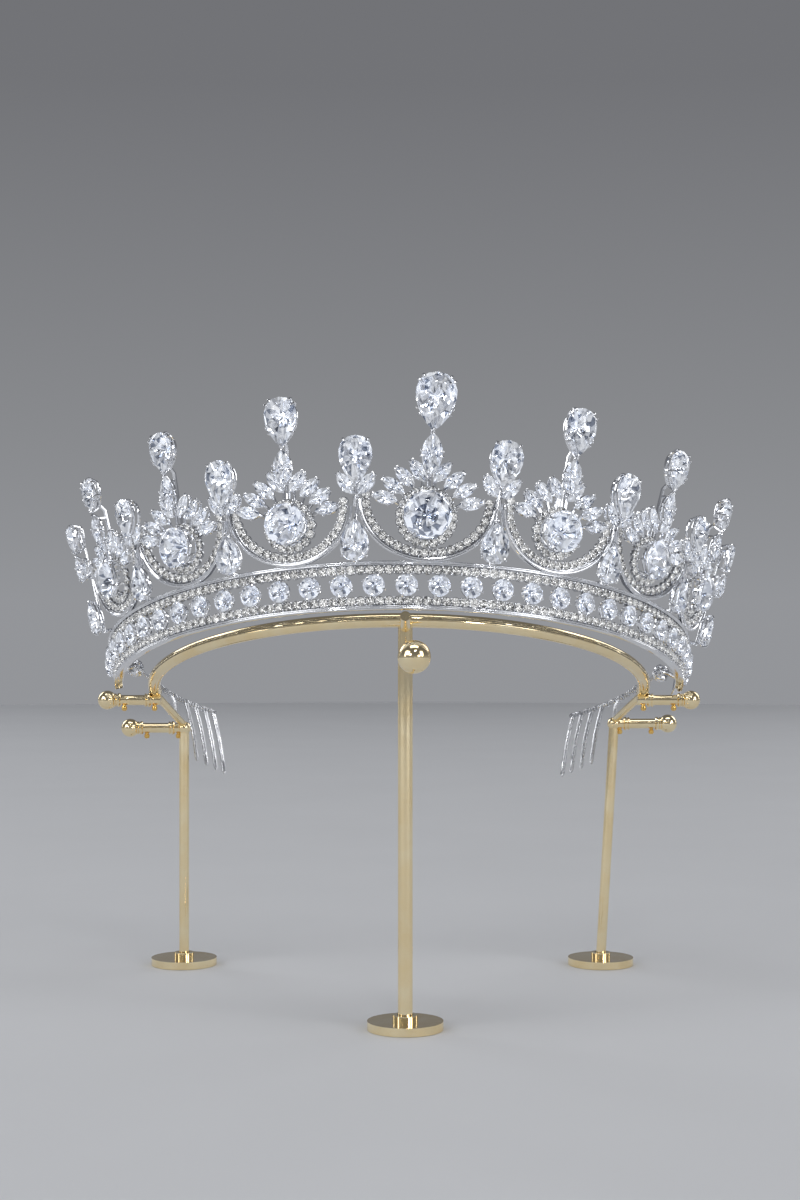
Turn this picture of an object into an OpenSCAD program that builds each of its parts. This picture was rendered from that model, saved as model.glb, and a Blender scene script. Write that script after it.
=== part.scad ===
// Wedding crown with clear stones on its three-legged rod stand.
// Millimetres, +Z up, front of the crown towards -Y. The front post stands on the origin.

/* [Crown] */
// Radius of the lower rim's face, seen along the crown's own axis
crown_r = 74.6; // [68:0.2:80]
// Arc length from the middle of the band to one rear end
band_half = 118.4; // [100:0.2:125]
// Height of the band, measured along its face
band_h = 11.3; // [9:0.1:14]
// Outward lean of the band's face, degrees
band_flare = 11.4; // [0:0.2:20]
// Outward lean of the crest, degrees
crest_flare = 16; // [5:0.5:25]
// Sideways lean of the crest pieces, degrees
crest_lean = 3; // [0:0.5:5]
// Height of a rim wire along the face
rim_h = 0.9; // [0.5:0.05:1.5]
// Depth of the rims, front to back
rim_t = 2.3; // [1.5:0.1:3]
// Height of a row plate that carries small stones
row_h = 2.4; // [2:0.1:3]
// Thickness of the row plates and of the crest plates
plate_t = 0.8; // [0.6:0.05:1.2]

/* [Band stones] */
// Number of large round stones on each half of the band
band_stones_half = 16; // [12:1:18]
// Spacing of the large band stones along the arc
band_pitch = 7.4; // [6.5:0.1:8.5]
// Width of a large band stone
band_stone_d = 5.15; // [4:0.05:6]

/* [Crest] */
// Width of the stone row on a swag
swag_row = 2.3; // [1.8:0.1:3]
// Width of the plain rim under a swag
swag_rim = 0.95; // [0.6:0.05:1.5]
// Height of the swag ends above the band
cusp_h = 13.9; // [12:0.1:16]
// Length of a fan marquise in the middle motif
leaf_l = 6.2; // [5:0.1:7.5]
// Width of a fan marquise in the middle motif
leaf_w = 2.9; // [2.2:0.1:3.6]
// Thickness of a claw
claw_t = 0.6; // [0.4:0.05:0.9]

/* [Stand] */
// Tilt of the crown and of the ring on the stand, front up, degrees
crown_tilt = 17.7; // [0:0.1:30]
// Turn of the crown on its ring, degrees
crown_turn = 4.2; // [-10:0.2:10]
// Height of the crown's centre above the floor
centre_h = 76; // [70:1:200]
// Radius of the ring's centre line
ring_r = 64.6; // [55:0.2:70]
// Thickness of the ring and of the front post
rod_d = 3.4; // [2.5:0.1:4.5]
// Thickness of the rear posts and the arms
thin_d = 2.7; // [2:0.1:3.5]
// Width of the front ball
front_ball_d = 7.7; // [5:0.1:10]
// Width of the side balls
side_ball_d = 5; // [4:0.1:7]
// Width of a foot
foot_d = 18; // [12:1:30]

/* [Output] */
// Node to draw, or all

/* [Hidden] */
clear = 0.3;
// Combs: height, radius and angle round from the front, then angle and length of each tooth
comb_z = 5;
comb_r = 66;
comb_r0 = 69.6;
comb_a0 = 86.5;
comb_a1 = 99;
comb_bar_d = 1.5;
coil_r = 1.45;
coil_wire = 1.0;
coil_bore = 0.9;
COMB_TEETH = [[109.5, 4.8], [117.4, 16.5], [121.6, 17], [125.4, 17.5], [128.6, 18]];
tooth_lean = 1.2;
// Leaves of a cusp group: sideways place, turn from upright, distance under the pear's lower part
leaf_x = 2.45;
leaf_turn = 37;
leaf_drop = 0.7;
turn_per_mm = 180 / PI / crown_r;
crest_r = crown_r + band_h * sin(band_flare);
crest_z = band_h * cos(band_flare);
plate_back = -0.5;
plate_top = plate_back + plate_t;
basket_z = 0.9;
swag_out = -0.25;
post_x = 1.5;
post_y = -61.4;
// Sides of the stand: side, drop of the rear arm, inward lean of the rear post at the floor
SIDE = 0;
REAR_DROP = 1;
POST_LEAN = 2;
SIDES = [[-1, 1.2, 0], [1, 0, 3.7]];
ring_half = 91;
ball_x = 77.3;
rear_reach = 14.9;
socket = 0.9;
front_ball_at = [3.5, -74.6, 11.8];
link_d = 2;
rear_x = 59.5;
rear_y = 22.5;
rear_z = -9.4;
arm_y = -0.6;
arm_z = -2;

// Fan motifs from the middle outwards
PLACE = 0;
HALO_Y = 1;
ROUND_D = 2;
HALO_D = 3;
FAN = 4;
TOP_Y = 5;
TOP_L = 6;
TOP_W = 7;
PEAR_Y = 8;
PEAR_L = 9;
PEAR_W = 10;
SWAG_W = 11;
MOTIFS = [
  [0.0, 10.15, 11.2, 14.6, 1.00, 24.5, 9.8, 4.8, 36.6, 13.8, 9.7, 32.3],
  [30.2, 9.3, 9.8, 13.0, 0.98, 22.7, 8.8, 4.4, 33.4, 11.7, 8.1, 30.7],
  [58.6, 8.9, 9.6, 12.6, 0.97, 22.4, 8.2, 4.1, 32.3, 9.8, 7.3, 29.9],
  [87.0, 9.0, 9.2, 12.2, 0.93, 22.2, 7.6, 3.8, 31.3, 8.2, 6.1, 29.8],
];

// Cusp groups between and after the motifs
CP_Y = 1;
CP_L = 2;
CP_W = 3;
CD_Y = 4;
CD_L = 5;
CD_W = 6;
LEAF_K = 7;
CP_Z = 8;
CUSPS = [
  [15.1, 23.2, 11.4, 7.9, 4.9, 9.8, 6.9, 1.00, 0.8],
  [44.4, 21.4, 11.0, 7.4, 4.6, 9.4, 6.5, 0.94, 0.8],
  [72.8, 20.4, 9.6, 6.6, 4.2, 8.8, 6.1, 0.88, 0.8],
  [101.3, 25.3, 7.2, 5.4, 4.0, 8.4, 5.8, 0.82, 1.7],
];

// Fan marquises: sideways place, height over the halo's middle, angle from upright
FAN_ROWS = [
  [2.75, 10.45, 38],
  [5.75, 8.8, 49],
  [8.3, 6.6, 60],
  [10.05, 3.7, 79],
];

// Outlines as parts of width and length, right half from the point up
PEAR_HALF = [[0, -0.5], [0.32, -0.24], [0.49, 0.1], [0.45, 0.32], [0.2, 0.5]];
LEAF_OUT = [[0, -0.5], [0.42, -0.2], [0.5, 0], [0.42, 0.2], [0, 0.5]];
// Plainer outline of a pear's wire seat
SEAT_OUT = [[0, -0.5], [0.46, 0.02], [0.33, 0.42], [-0.33, 0.42], [-0.46, 0.02]];

metal = [0.86, 0.87, 0.89];
gem_tint = [0.93, 0.96, 1.0];
gold = [0.9, 0.76, 0.45];

// Point of a local frame on a leaning face: x sideways, y up the face, z outwards
function on_face(p, arc, r0, z0, flare, lean) =
  let (a = arc * turn_per_mm,
       x = p[0] * cos(lean) + p[1] * sin(lean),
       y = p[1] * cos(lean) - p[0] * sin(lean),
       out = r0 + y * sin(flare) + p[2] * cos(flare),
       up = z0 + y * cos(flare) - p[2] * sin(flare))
  [out * sin(a) + x * cos(a), x * sin(a) - out * cos(a), up];

function on_band_pt(p, arc) = on_face(p, arc, crown_r, 0, band_flare, 0);
function on_crest_pt(p, arc) = on_face(p, arc, crest_r, crest_z, crest_flare, crest_lean);
function mirror_half(half) = [
  for (i = [0 : 2 * len(half) - 2])
    i < len(half) ? half[i] : [-half[2 * len(half) - 1 - i][0], half[2 * len(half) - 1 - i][1]]
];
function pear_out(w, l) = [for (q = mirror_half(PEAR_HALF)) [q[0] * w, q[1] * l]];
function leaf_out(w, l) = [
  for (i = [0 : 7])
    let (q = i < 5 ? LEAF_OUT[i] : [-LEAF_OUT[8 - i][0], LEAF_OUT[8 - i][1]]) [q[0] * w, q[1] * l]
];
function seat_out(w, l) = [for (q = SEAT_OUT) [q[0] * w, q[1] * l]];
function round_out(d, n) = [for (i = [0 : n - 1]) [d / 2 * cos(i * 360 / n), d / 2 * sin(i * 360 / n)]];
function turned(out, a) = [for (q = out) [q[0] * cos(a) - q[1] * sin(a), q[0] * sin(a) + q[1] * cos(a)]];
function moved(out, d) = [for (q = out) [q[0] + d[0], q[1] + d[1]]];
function middle(out) = [for (k = [0, 1]) (min([for (q = out) q[k]]) + max([for (q = out) q[k]])) / 2];

// A cut stone: table ring between the girdle's corners, girdle, culet
function gem_points(out, z, up, down, table) =
  let (n = len(out), c = middle(out))
  concat(
    [for (i = [0 : n - 1])
      let (m = (out[i] + out[(i + 1) % n]) / 2, q = c + (m - c) * table) [q[0], q[1], z + up]],
    [for (q = out) [q[0], q[1], z]],
    [[c[0], c[1], z - down]]
  );
function gem_faces(n, k) = concat(
  [[for (i = [n - 1 : -1 : 0]) k + i]],
  [for (i = [0 : n - 1]) [k + i, k + n + (i + 1) % n, k + n + i]],
  [for (i = [0 : n - 1]) [k + i, k + (i + 1) % n, k + n + (i + 1) % n]],
  [for (i = [0 : n - 1]) [k + n + i, k + n + (i + 1) % n, k + 2 * n]]
);

// Many stones of one corner count in one solid list
module gem_field(stones, n) {
  k = 2 * n + 1;
  polyhedron(
    points = [for (s = stones) for (p = s) p],
    faces = [for (j = [0 : len(stones) - 1]) for (f = gem_faces(n, j * k)) f]
  );
}

module crown_place() {
  translate([-post_x, -post_y, centre_h])
    rotate([-crown_tilt, 0, 0])
      rotate([0, 0, crown_turn])
        children();
}

module stand_place() {
  translate([-post_x, -post_y, centre_h])
    children();
}

module on_band(arc) {
  rotate([0, 0, arc * turn_per_mm])
    translate([0, -crown_r, 0])
      rotate([90 + band_flare, 0, 0])
        children();
}

module on_crest(arc) {
  rotate([0, 0, arc * turn_per_mm])
    translate([0, -crest_r, crest_z])
      rotate([90 + crest_flare, 0, 0])
        rotate([0, 0, -crest_lean])
          children();
}

module slab(z0, z1) {
  translate([0, 0, z0])
    linear_extrude(z1 - z0)
      children();
}

// Leaning four-sided claw from point a up to point b
module claw(a, b) {
  corner = [[0.5, 0, 0], [0, 0.5, 0], [-0.5, 0, 0], [0, -0.5, 0]] * claw_t;
  polyhedron(
    points = [for (e = [a, b]) for (q = corner) e + q],
    faces = [[0, 1, 2, 3], [7, 6, 5, 4], [0, 4, 5, 1], [1, 5, 6, 2], [2, 6, 7, 3], [3, 7, 4, 0]]
  );
}

// Claws round an outline, leaning out from a back ring to just past the girdle
module claws(out, picks, z0, z1, back) {
  c = middle(out);
  for (i = picks) {
    v = out[i] - c;
    u = v / norm(v);
    b = c + v + u * (claw_t / 2 + clear);
    f = c + v * back;
    claw([f[0], f[1], z0], [b[0], b[1], z1]);
  }
}

// Flat wire seat between two scalings of an outline
module seat_2d(out, outer, inner) {
  c = middle(out);
  difference() {
    polygon([for (q = out) c + (q - c) * outer]);
    polygon([for (q = out) c + (q - c) * inner]);
  }
}

module ring_of(out, z0, z1, outer, inner) {
  slab(z0, z1)
    seat_2d(out, outer, inner);
}

// Rails of the band: rim and row plate in one profile
module rail(rim_low, rim_high, row_low, row_high) {
  rim = [[rim_low, 0.3 - rim_t], [rim_low, 0.3], [rim_high, 0.3], [rim_high, 0.3 - rim_t]];
  row = [[row_low, -1.4], [row_low, -0.5], [row_high, -0.5], [row_high, -1.4]];
  rotate([0, 0, 270 - band_half * turn_per_mm])
    rotate_extrude(angle = 2 * band_half * turn_per_mm, $fn = 40)
      for (q = [rim, row])
        polygon([
          for (v = q)
            let (p = on_band_pt([0, v[0], v[1]], 0)) [-p[1], p[2]]
        ]);
}

band_mid = rim_h + row_h + (band_h - 2 * rim_h - 2 * row_h) / 2 - 0.1;

module band_metal() {
  rail(0, rim_h, rim_h - 0.1, rim_h + row_h);
  rail(band_h - rim_h, band_h, band_h - rim_h - row_h, band_h - rim_h + 0.1);
  for (i = [-band_stones_half : band_stones_half - 1])
    on_band((i + 0.5) * band_pitch)
      translate([0, band_mid, 0])
        ring_of(round_out(band_stone_d + 1.3, 4), -1, 0, 1, 0.72);
  for (s = [-1, 1])
    on_band(s * (band_half - 0.9))
      translate([0, band_h / 2, -0.95])
        cube([0.9, band_h - 0.6, 0.7], center = true);
}

function swag_pt(a, b, w, t) = [-(a - w) * cos(t), b - (b - w) * sin(t)];

module swag_strip(a, b, w0, w1) {
  polygon(concat(
    [for (i = [0 : 10]) swag_pt(a, b, w0, 4 + 172 * i / 10)],
    [for (i = [10 : -1 : 0]) swag_pt(a, b, w1, 4 + 172 * i / 10)]
  ));
}

module leaf_seat(l, w, neck) {
  polygon([[0, -l / 2 - neck], [w * 0.42, 0], [0, l * 0.44], [-w * 0.42, 0]]);
}

// Distance from a fan marquise's inner tip to its root in the halo
function fan_neck(m, r) = m[FAN] * (norm([r[0], r[1]]) - leaf_l / 2) - m[HALO_D] / 2 + 0.5;

module motif_metal(m) {
  hy = m[HALO_Y];
  hr = m[HALO_D] / 2;
  rd = m[ROUND_D];
  a = m[SWAG_W] / 2;
  seat = round_out(rd, 8);
  slab(plate_back, plate_top) {
    swag_strip(a, cusp_h, swag_out + 0.4, swag_out + swag_rim + swag_row);
    difference() {
      union() {
        translate([0, hy])
          circle(r = hr, $fn = 16);
        for (r = FAN_ROWS, s = [-1, 1])
          translate([s * r[0] * m[FAN], hy + r[1] * m[FAN]])
            rotate(-s * r[2])
              leaf_seat(leaf_l * m[FAN], leaf_w * m[FAN], fan_neck(m, r));
        translate([-0.5, hy + hr - 0.6])
          square([1, m[PEAR_Y] - m[PEAR_L] * 0.38 - hy - hr + 0.6]);
      }
      translate([0, hy + 0.4])
        polygon(seat * 0.9);
    }
  }
  slab(plate_back - 0.15, plate_top + 0.75)
    swag_strip(a, cusp_h, swag_out, swag_out + swag_rim);
  // raised seat of the round stone
  translate([0, hy + 0.4, 0]) {
    ring_of(seat, plate_back - 0.2, 2.6, 0.97, 0.84);
    claws(seat, [1, 3, 5, 7], plate_top - 0.2, 4.3, 0.95);
  }
  // collar of the top marquise on two bars
  translate([0, m[TOP_Y], 0]) {
    ring_of(fan_out(m[TOP_W], m[TOP_L]), 2.0, 2.7, 0.94, 0.62);
    for (s = [-1, 1])
      translate([-0.35, s * m[TOP_L] * 0.4 - 0.35, plate_top - 0.3])
        cube([0.7, 0.7, 2.4 - plate_top]);
  }
  // open basket of the tall pear, raised on the end of the stem
  translate([0, m[PEAR_Y], 0]) {
    ring_of(seat_out(m[PEAR_W], m[PEAR_L]), basket_z, basket_z + plate_t, 0.94, 0.74);
    translate([-0.4, -m[PEAR_L] * 0.47, plate_back + 0.1])
      cube([0.8, 0.9, basket_z - plate_back + 0.5]);
    claws(pear_out(m[PEAR_W], m[PEAR_L]), [1, 3, 6, 8], basket_z + 0.2, 4.2, 0.84);
  }
}

module cusp_metal(c, last) {
  kl = c[LEAF_K];
  z0 = c[CP_Z];
  z1 = z0 + plate_t;
  ly = leaf_y(c, last);
  slab(z0, z1) {
    translate([-0.5, -0.4])
      square([1, c[CP_Y] - c[CP_L] * 0.4 + 0.4]);
    for (s = [-1, 1])
      translate([s * leaf_x * kl, ly])
        rotate(-s * leaf_turn)
          leaf_seat(leaf_l * kl, leaf_w * kl, 0.5);
    translate([0, c[CP_Y]])
      seat_2d(seat_out(c[CP_W], c[CP_L]), 0.94, 0.72);
    translate([0, c[CD_Y]])
      seat_2d(turned(seat_out(c[CD_W], c[CD_L]), 180), 0.9, 0.66);
  }
  // shoulder where two swags meet, and foot on the band
  hull() {
    translate([-1.1, cusp_h - 1.7, 0.7])
      cube([2.2, 0.4, z0 + 0.7]);
    translate([-0.7, cusp_h + 1.4, z0 - 0.1])
      cube([1.4, 0.4, plate_t + 0.3]);
  }
  translate([-0.4, -0.5, -1.2])
    cube([0.8, 0.8, z0 + 1.5]);
  translate([0, c[CP_Y], 0])
    claws(pear_out(c[CP_W], c[CP_L]), [0, 3, 6], z0 + 0.2, z0 + 3.9, 0.84);
  translate([0, c[CD_Y], 0])
    claws(turned(pear_out(c[CD_W], c[CD_L]), 180), [2, 7], z0 + 0.2, z0 + 3, 0.8);
}

function leaf_y(c, last) = last ? cusp_h + 2.4 : c[CP_Y] - 0.41 * c[CP_L] - leaf_drop;

// Lug from the band's lower rail through the bore of a comb's wound sleeve
module comb_lug(s) {
  front = comb_at(comb_a0 - 2.2, comb_r0, comb_z, s);
  ends = [comb_at(comb_a0 + 2, comb_r0, comb_z, s), comb_at(comb_a0 - 3.4, crown_r - 1, 2.4, s)];
  for (i = [0, 1])
    hull()
      for (p = [front, ends[i]])
        translate(p)
          cube(0.8 + 0.15 * i, center = true);
}

module crown_frame() {
  color(metal)
    crown_place() {
      band_metal();
      for (s = [-1, 1])
        comb_lug(s);
      for (i = [-3 : 3])
        on_crest(sign(i) * MOTIFS[abs(i)][PLACE])
          motif_metal(MOTIFS[abs(i)]);
      for (i = [0 : 3], s = [-1, 1])
        on_crest(s * CUSPS[i][PLACE])
          cusp_metal(CUSPS[i], i == 3);
    }
}

module band_stones() {
  color(gem_tint)
    crown_place()
      gem_field([
        for (i = [-band_stones_half : band_stones_half - 1])
          [for (p = gem_points(round_out(band_stone_d, 8), 0.95, 0.75, 1.9, 0.62))
            on_band_pt([p[0], p[1] + band_mid, p[2]], (i + 0.5) * band_pitch)]
      ], 8);
}

// Six-cornered marquise outline for the fans
function fan_out(w, l) = [
  for (q = [[0, -0.5], [0.5, -0.16], [0.5, 0.16], [0, 0.5], [-0.5, 0.16], [-0.5, -0.16]])
    [q[0] * w, q[1] * l]
];

// Marquise of a fan or of a cusp group, turned and put in place on its motif
function fan_at(k, a, at) = moved(turned(fan_out(leaf_w * k, leaf_l * k), a), at);

module fan_marquises() {
  color(gem_tint)
    crown_place()
      gem_field(concat(
        [for (i = [-3 : 3]) for (r = FAN_ROWS) for (s = [-1, 1])
          let (m = MOTIFS[abs(i)], k = m[FAN],
               out = fan_at(k, -s * r[2], [s * r[0] * k, m[HALO_Y] + r[1] * k]))
          [for (p = gem_points(out, plate_top + 1.25, 0.5, 1.1, 0.55))
            on_crest_pt(p, sign(i) * m[PLACE])]],
        [for (i = [0 : 3]) for (g = [-1, 1]) for (s = [-1, 1])
          let (c = CUSPS[i], k = c[LEAF_K],
               out = fan_at(k, -s * leaf_turn, [s * leaf_x * k, leaf_y(c, i == 3)]))
          [for (p = gem_points(out, c[CP_Z] + 1.95, 0.4, 1.0, 0.55)) on_crest_pt(p, g * c[PLACE])]],
        [for (g = [-1, 1])
          let (out = moved(fan_out(3.2, 6.2), [0, 17.2]))
          [for (p = gem_points(out, CUSPS[3][CP_Z] + 3.2, 0.5, 0.9, 0.55))
            on_crest_pt(p, g * CUSPS[3][PLACE])]]
      ), 6);
}

module round_stone(i, s) {
  m = MOTIFS[i];
  d = m[ROUND_D];
  color(gem_tint)
    crown_place()
      on_crest(s * m[PLACE])
        translate([0, m[HALO_Y] + 0.4, 0])
          gem_field([gem_points(turned(round_out(d, 12), 15), 3.7, 0.15 * d, 0.42 * d, 0.6)], 12);
}

// Pear in its own frame: outline, height of the girdle, width, and depth as a part of the width
module pear_stone(out, z, w, deep) {
  gem_field([gem_points(out, z, 0.15 * w, deep * w, 0.6)], 9);
}

module tall_pear(i, s) {
  m = MOTIFS[i];
  color(gem_tint)
    crown_place()
      on_crest(s * m[PLACE])
        translate([0, m[PEAR_Y], 0])
          pear_stone(pear_out(m[PEAR_W], m[PEAR_L]), 3.6, m[PEAR_W], 0.38);
}

module top_marquise(i, s) {
  m = MOTIFS[i];
  color(gem_tint)
    crown_place()
      on_crest(s * m[PLACE])
        translate([0, m[TOP_Y], 0])
          gem_field([gem_points(leaf_out(m[TOP_W], m[TOP_L]), 3.5, 0.8, 1.6, 0.6)], 8);
}

module upright_pear(i, s) {
  c = CUSPS[i];
  color(gem_tint)
    crown_place()
      on_crest(s * c[PLACE])
        translate([0, c[CP_Y], 0])
          pear_stone(pear_out(c[CP_W], c[CP_L]), c[CP_Z] + 3.3, c[CP_W], 0.36);
}

module drop_pear(i, s) {
  c = CUSPS[i];
  color(gem_tint)
    crown_place()
      on_crest(s * c[PLACE])
        translate([0, c[CD_Y], 0])
          pear_stone(turned(pear_out(c[CD_W], c[CD_L]), 180), c[CP_Z] + 2.5, c[CD_W], 0.2);
}

// Straight rod between two points
module rod(a, b, d) {
  v = b - a;
  translate(a)
    rotate([0, acos(v[2] / norm(v)), atan2(v[1], v[0])])
      cylinder(d = d, h = norm(v), $fn = 32);
}

function comb_turn(s) = -2 * s;
function comb_at(a, r, z, s) = [s * r * sin(a + comb_turn(s)), -r * cos(a + comb_turn(s)), z];

module comb_arc(a0, a1, r, s) {
  rotate([0, 0, s > 0 ? a0 + comb_turn(s) - 90 : 270 - a1 - comb_turn(s)])
    rotate_extrude(angle = a1 - a0, $fn = 96)
      translate([r, comb_z])
        circle(d = comb_bar_d, $fn = 32);
}

// Wound sleeve at the front of a comb
module comb_coil() {
  rotate_extrude($fn = 48)
    polygon(concat(
      [[coil_bore, coil_wire * 1.5], [coil_bore, -coil_wire * 1.5]],
      [for (k = [-1 : 1]) for (t = [-75 : 30 : 75])
        [coil_r + coil_wire / 2 * cos(t), coil_wire * (k + sin(t) / 2)]]
    ));
}

module comb(s) {
  color(metal)
    crown_place() {
      translate(comb_at(comb_a0, comb_r0, comb_z, s))
        rotate([0, 0, s * (comb_a0 + comb_turn(s))])
          rotate([0, 90, 0])
            comb_coil();
      rod(
        comb_at(comb_a0 + 0.8, comb_r0 - coil_r + 0.08, comb_z, s),
        comb_at(comb_a1, comb_r, comb_z, s),
        0.9
      );
      translate(comb_at(comb_a1, comb_r, comb_z, s))
        sphere(d = comb_bar_d + 0.3, $fn = 32);
      comb_arc(comb_a1, COMB_TEETH[4][0] + 1, comb_r, s);
      for (t = COMB_TEETH)
        rod(
          comb_at(t[0], comb_r, comb_z, s),
          comb_at(t[0] + tooth_lean, comb_r - t[1] * 0.21, comb_z - t[1], s),
          1.1
        );
    }
}

// Distance from a ball's middle to the end of its arm
function socket_gap(d) = d / 2 - socket + 0.15;

// One side of the stand: arm at the ring's end, link, rear arm and rear post
module stand_side(g) {
  s = g[SIDE];
  top = [s * rear_x, rear_y, rear_z - g[REAR_DROP]];
  low = [s * (rear_x - g[POST_LEAN]), rear_y, -centre_h + 1.2];
  tilted()
    rod([s * (ring_r - 1.5), arm_y, arm_z], [s * (ball_x - socket_gap(side_ball_d)), arm_y, arm_z], thin_d);
  rod([s * (ring_r - 0.2), -0.4, -0.4], top + [s * 0.2, -0.3, 1], link_d);
  rod(top + [s * 0.4, 0, 0], top + [s * (rear_reach - socket_gap(side_ball_d)), 0, 0], thin_d);
  translate(top)
    sphere(d = thin_d + 1, $fn = 40);
  rod(low, top, thin_d);
  tilted()
    arm_trim(s, ring_r + 2.2, 73.4, arm_y, arm_z);
  arm_trim(s, rear_x + 3.4, rear_x + 10.8, rear_y, top[2]);
}

// Collar beside a ball and the set screws under an arm
module arm_trim(s, x_in, x_out, y, z) {
  translate([s * x_out - 0.7, y, z])
    rotate([0, 90, 0])
      cylinder(d = thin_d + 0.8, h = 1.4, $fn = 40);
  for (x = [x_in, x_out])
    translate([s * x, y, z - thin_d / 2 - 1.6])
      cylinder(d = 1.3, h = 2, $fn = 24);
}

module stand_frame() {
  color(gold)
    stand_place() {
      tilted()
        rotate([0, 0, 270 - ring_half])
          rotate_extrude(angle = 2 * ring_half, $fn = 128)
            translate([ring_r, 0.42])
              circle(d = rod_d, $fn = 40);
      tilted()
        rod([post_x, -ring_r + 0.4, -1.5], [post_x, -74.2, -1.5], 2.4);
      rod([post_x, post_y, -centre_h + 1.2], [post_x, post_y, 20], rod_d + 0.1);
      rod(front_arm_at, front_ball_at + front_dir * socket_gap(front_ball_d), thin_d);
      for (g = SIDES)
        stand_side(g);
    }
}

module tilted() {
  rotate([-crown_tilt, 0, 0])
    children();
}

// Ball end screwed on a level arm that comes from the direction toward, with a shallow socket
module ball(at, toward, d) {
  color(gold)
    stand_place()
      translate(at)
        rotate([0, 0, atan2(-toward[1], -toward[0])])
          difference() {
            sphere(d = d, $fn = 48);
            rod([socket - d / 2, 0, 0], [-d / 2 - 2, 0, 0], thin_d + 0.3);
          }
}

front_arm_at = [post_x, post_y, front_ball_at[2]];
front_dir = (front_arm_at - front_ball_at) / norm(front_arm_at - front_ball_at);

function rear_ball_at(g) = [g[SIDE] * (rear_x + rear_reach), rear_y, rear_z - g[REAR_DROP]];

function tilt_pt(p) = [
  p[0],
  p[1] * cos(crown_tilt) + p[2] * sin(crown_tilt),
  p[2] * cos(crown_tilt) - p[1] * sin(crown_tilt)
];

// Plain foot with a socket for its post
module foot(x, y, d) {
  color(gold)
    stand_place()
      translate([x, y, -centre_h])
        difference() {
          union() {
            cylinder(d = foot_d, h = 2, $fn = 64);
            cylinder(d = d + 2.6, h = 3.4, $fn = 48);
          }
          translate([0, 0, 1])
            cylinder(d = d + 0.4, h = 6, $fn = 48);
        }
}

crown_frame();
band_stones();
fan_marquises();
round_stone(0, 0);  // round_centre
round_stone(1, -1);  // round_left_1
round_stone(2, -1);  // round_left_2
round_stone(3, -1);  // round_left_3
round_stone(1, 1);  // round_right_1
round_stone(2, 1);  // round_right_2
round_stone(3, 1);  // round_right_3
tall_pear(0, 0);  // tall_pear_centre
tall_pear(1, -1);  // tall_pear_left_1
tall_pear(2, -1);  // tall_pear_left_2
tall_pear(3, -1);  // tall_pear_left_3
tall_pear(1, 1);  // tall_pear_right_1
tall_pear(2, 1);  // tall_pear_right_2
tall_pear(3, 1);  // tall_pear_right_3
top_marquise(0, 0);  // top_marquise_centre
top_marquise(1, -1);  // top_marquise_left_1
top_marquise(2, -1);  // top_marquise_left_2
top_marquise(3, -1);  // top_marquise_left_3
top_marquise(1, 1);  // top_marquise_right_1
top_marquise(2, 1);  // top_marquise_right_2
top_marquise(3, 1);  // top_marquise_right_3
upright_pear(0, -1);  // upright_pear_left_1
upright_pear(1, -1);  // upright_pear_left_2
upright_pear(2, -1);  // upright_pear_left_3
upright_pear(3, -1);  // upright_pear_left_4
upright_pear(0, 1);  // upright_pear_right_1
upright_pear(1, 1);  // upright_pear_right_2
upright_pear(2, 1);  // upright_pear_right_3
upright_pear(3, 1);  // upright_pear_right_4
drop_pear(0, -1);  // drop_pear_left_1
drop_pear(1, -1);  // drop_pear_left_2
drop_pear(2, -1);  // drop_pear_left_3
drop_pear(3, -1);  // drop_pear_left_4
drop_pear(0, 1);  // drop_pear_right_1
drop_pear(1, 1);  // drop_pear_right_2
drop_pear(2, 1);  // drop_pear_right_3
drop_pear(3, 1);  // drop_pear_right_4
comb(-1);  // comb_left
comb(1);  // comb_right
stand_frame();
ball(front_ball_at, front_dir, front_ball_d);  // ball_front
ball(tilt_pt([-ball_x, arm_y, arm_z]), [1, 0, 0], side_ball_d);  // ball_left
ball(tilt_pt([ball_x, arm_y, arm_z]), [-1, 0, 0], side_ball_d);  // ball_right
ball(rear_ball_at(SIDES[0]), [1, 0, 0], side_ball_d);  // ball_rear_left
ball(rear_ball_at(SIDES[1]), [-1, 0, 0], side_ball_d);  // ball_rear_right
foot(post_x, post_y, rod_d);  // foot_front
foot(-rear_x + SIDES[0][POST_LEAN], rear_y, thin_d);  // foot_left
foot(rear_x - SIDES[1][POST_LEAN], rear_y, thin_d);  // foot_right
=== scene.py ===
"""Wedding crown with clear stones on its three-legged rod stand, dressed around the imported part.

Shapes are worked out in millimetres in the part's own frame and put in the scene in metres.
"""

from __future__ import annotations

import logging
import math
import random
from dataclasses import dataclass, field, replace
from enum import Enum
from functools import lru_cache
from typing import Callable, Sequence

import bpy
import numpy as np
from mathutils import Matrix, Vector

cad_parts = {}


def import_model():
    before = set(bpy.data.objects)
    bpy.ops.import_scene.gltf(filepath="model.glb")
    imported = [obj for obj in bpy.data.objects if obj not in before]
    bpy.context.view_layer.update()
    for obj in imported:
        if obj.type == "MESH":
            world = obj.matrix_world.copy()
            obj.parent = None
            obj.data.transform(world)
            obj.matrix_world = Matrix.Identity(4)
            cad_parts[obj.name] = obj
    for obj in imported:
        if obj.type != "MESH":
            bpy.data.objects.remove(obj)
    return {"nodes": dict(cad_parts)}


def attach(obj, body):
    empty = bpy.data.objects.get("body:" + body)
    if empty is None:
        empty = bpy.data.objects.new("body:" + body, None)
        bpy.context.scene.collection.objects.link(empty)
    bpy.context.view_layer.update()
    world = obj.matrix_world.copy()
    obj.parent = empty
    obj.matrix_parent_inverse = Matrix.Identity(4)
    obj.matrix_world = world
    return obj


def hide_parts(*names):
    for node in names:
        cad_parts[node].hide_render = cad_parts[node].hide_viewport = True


LOG = logging.getLogger("wedding_crown")
# Metres in a millimetre
MM = 0.001
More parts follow.
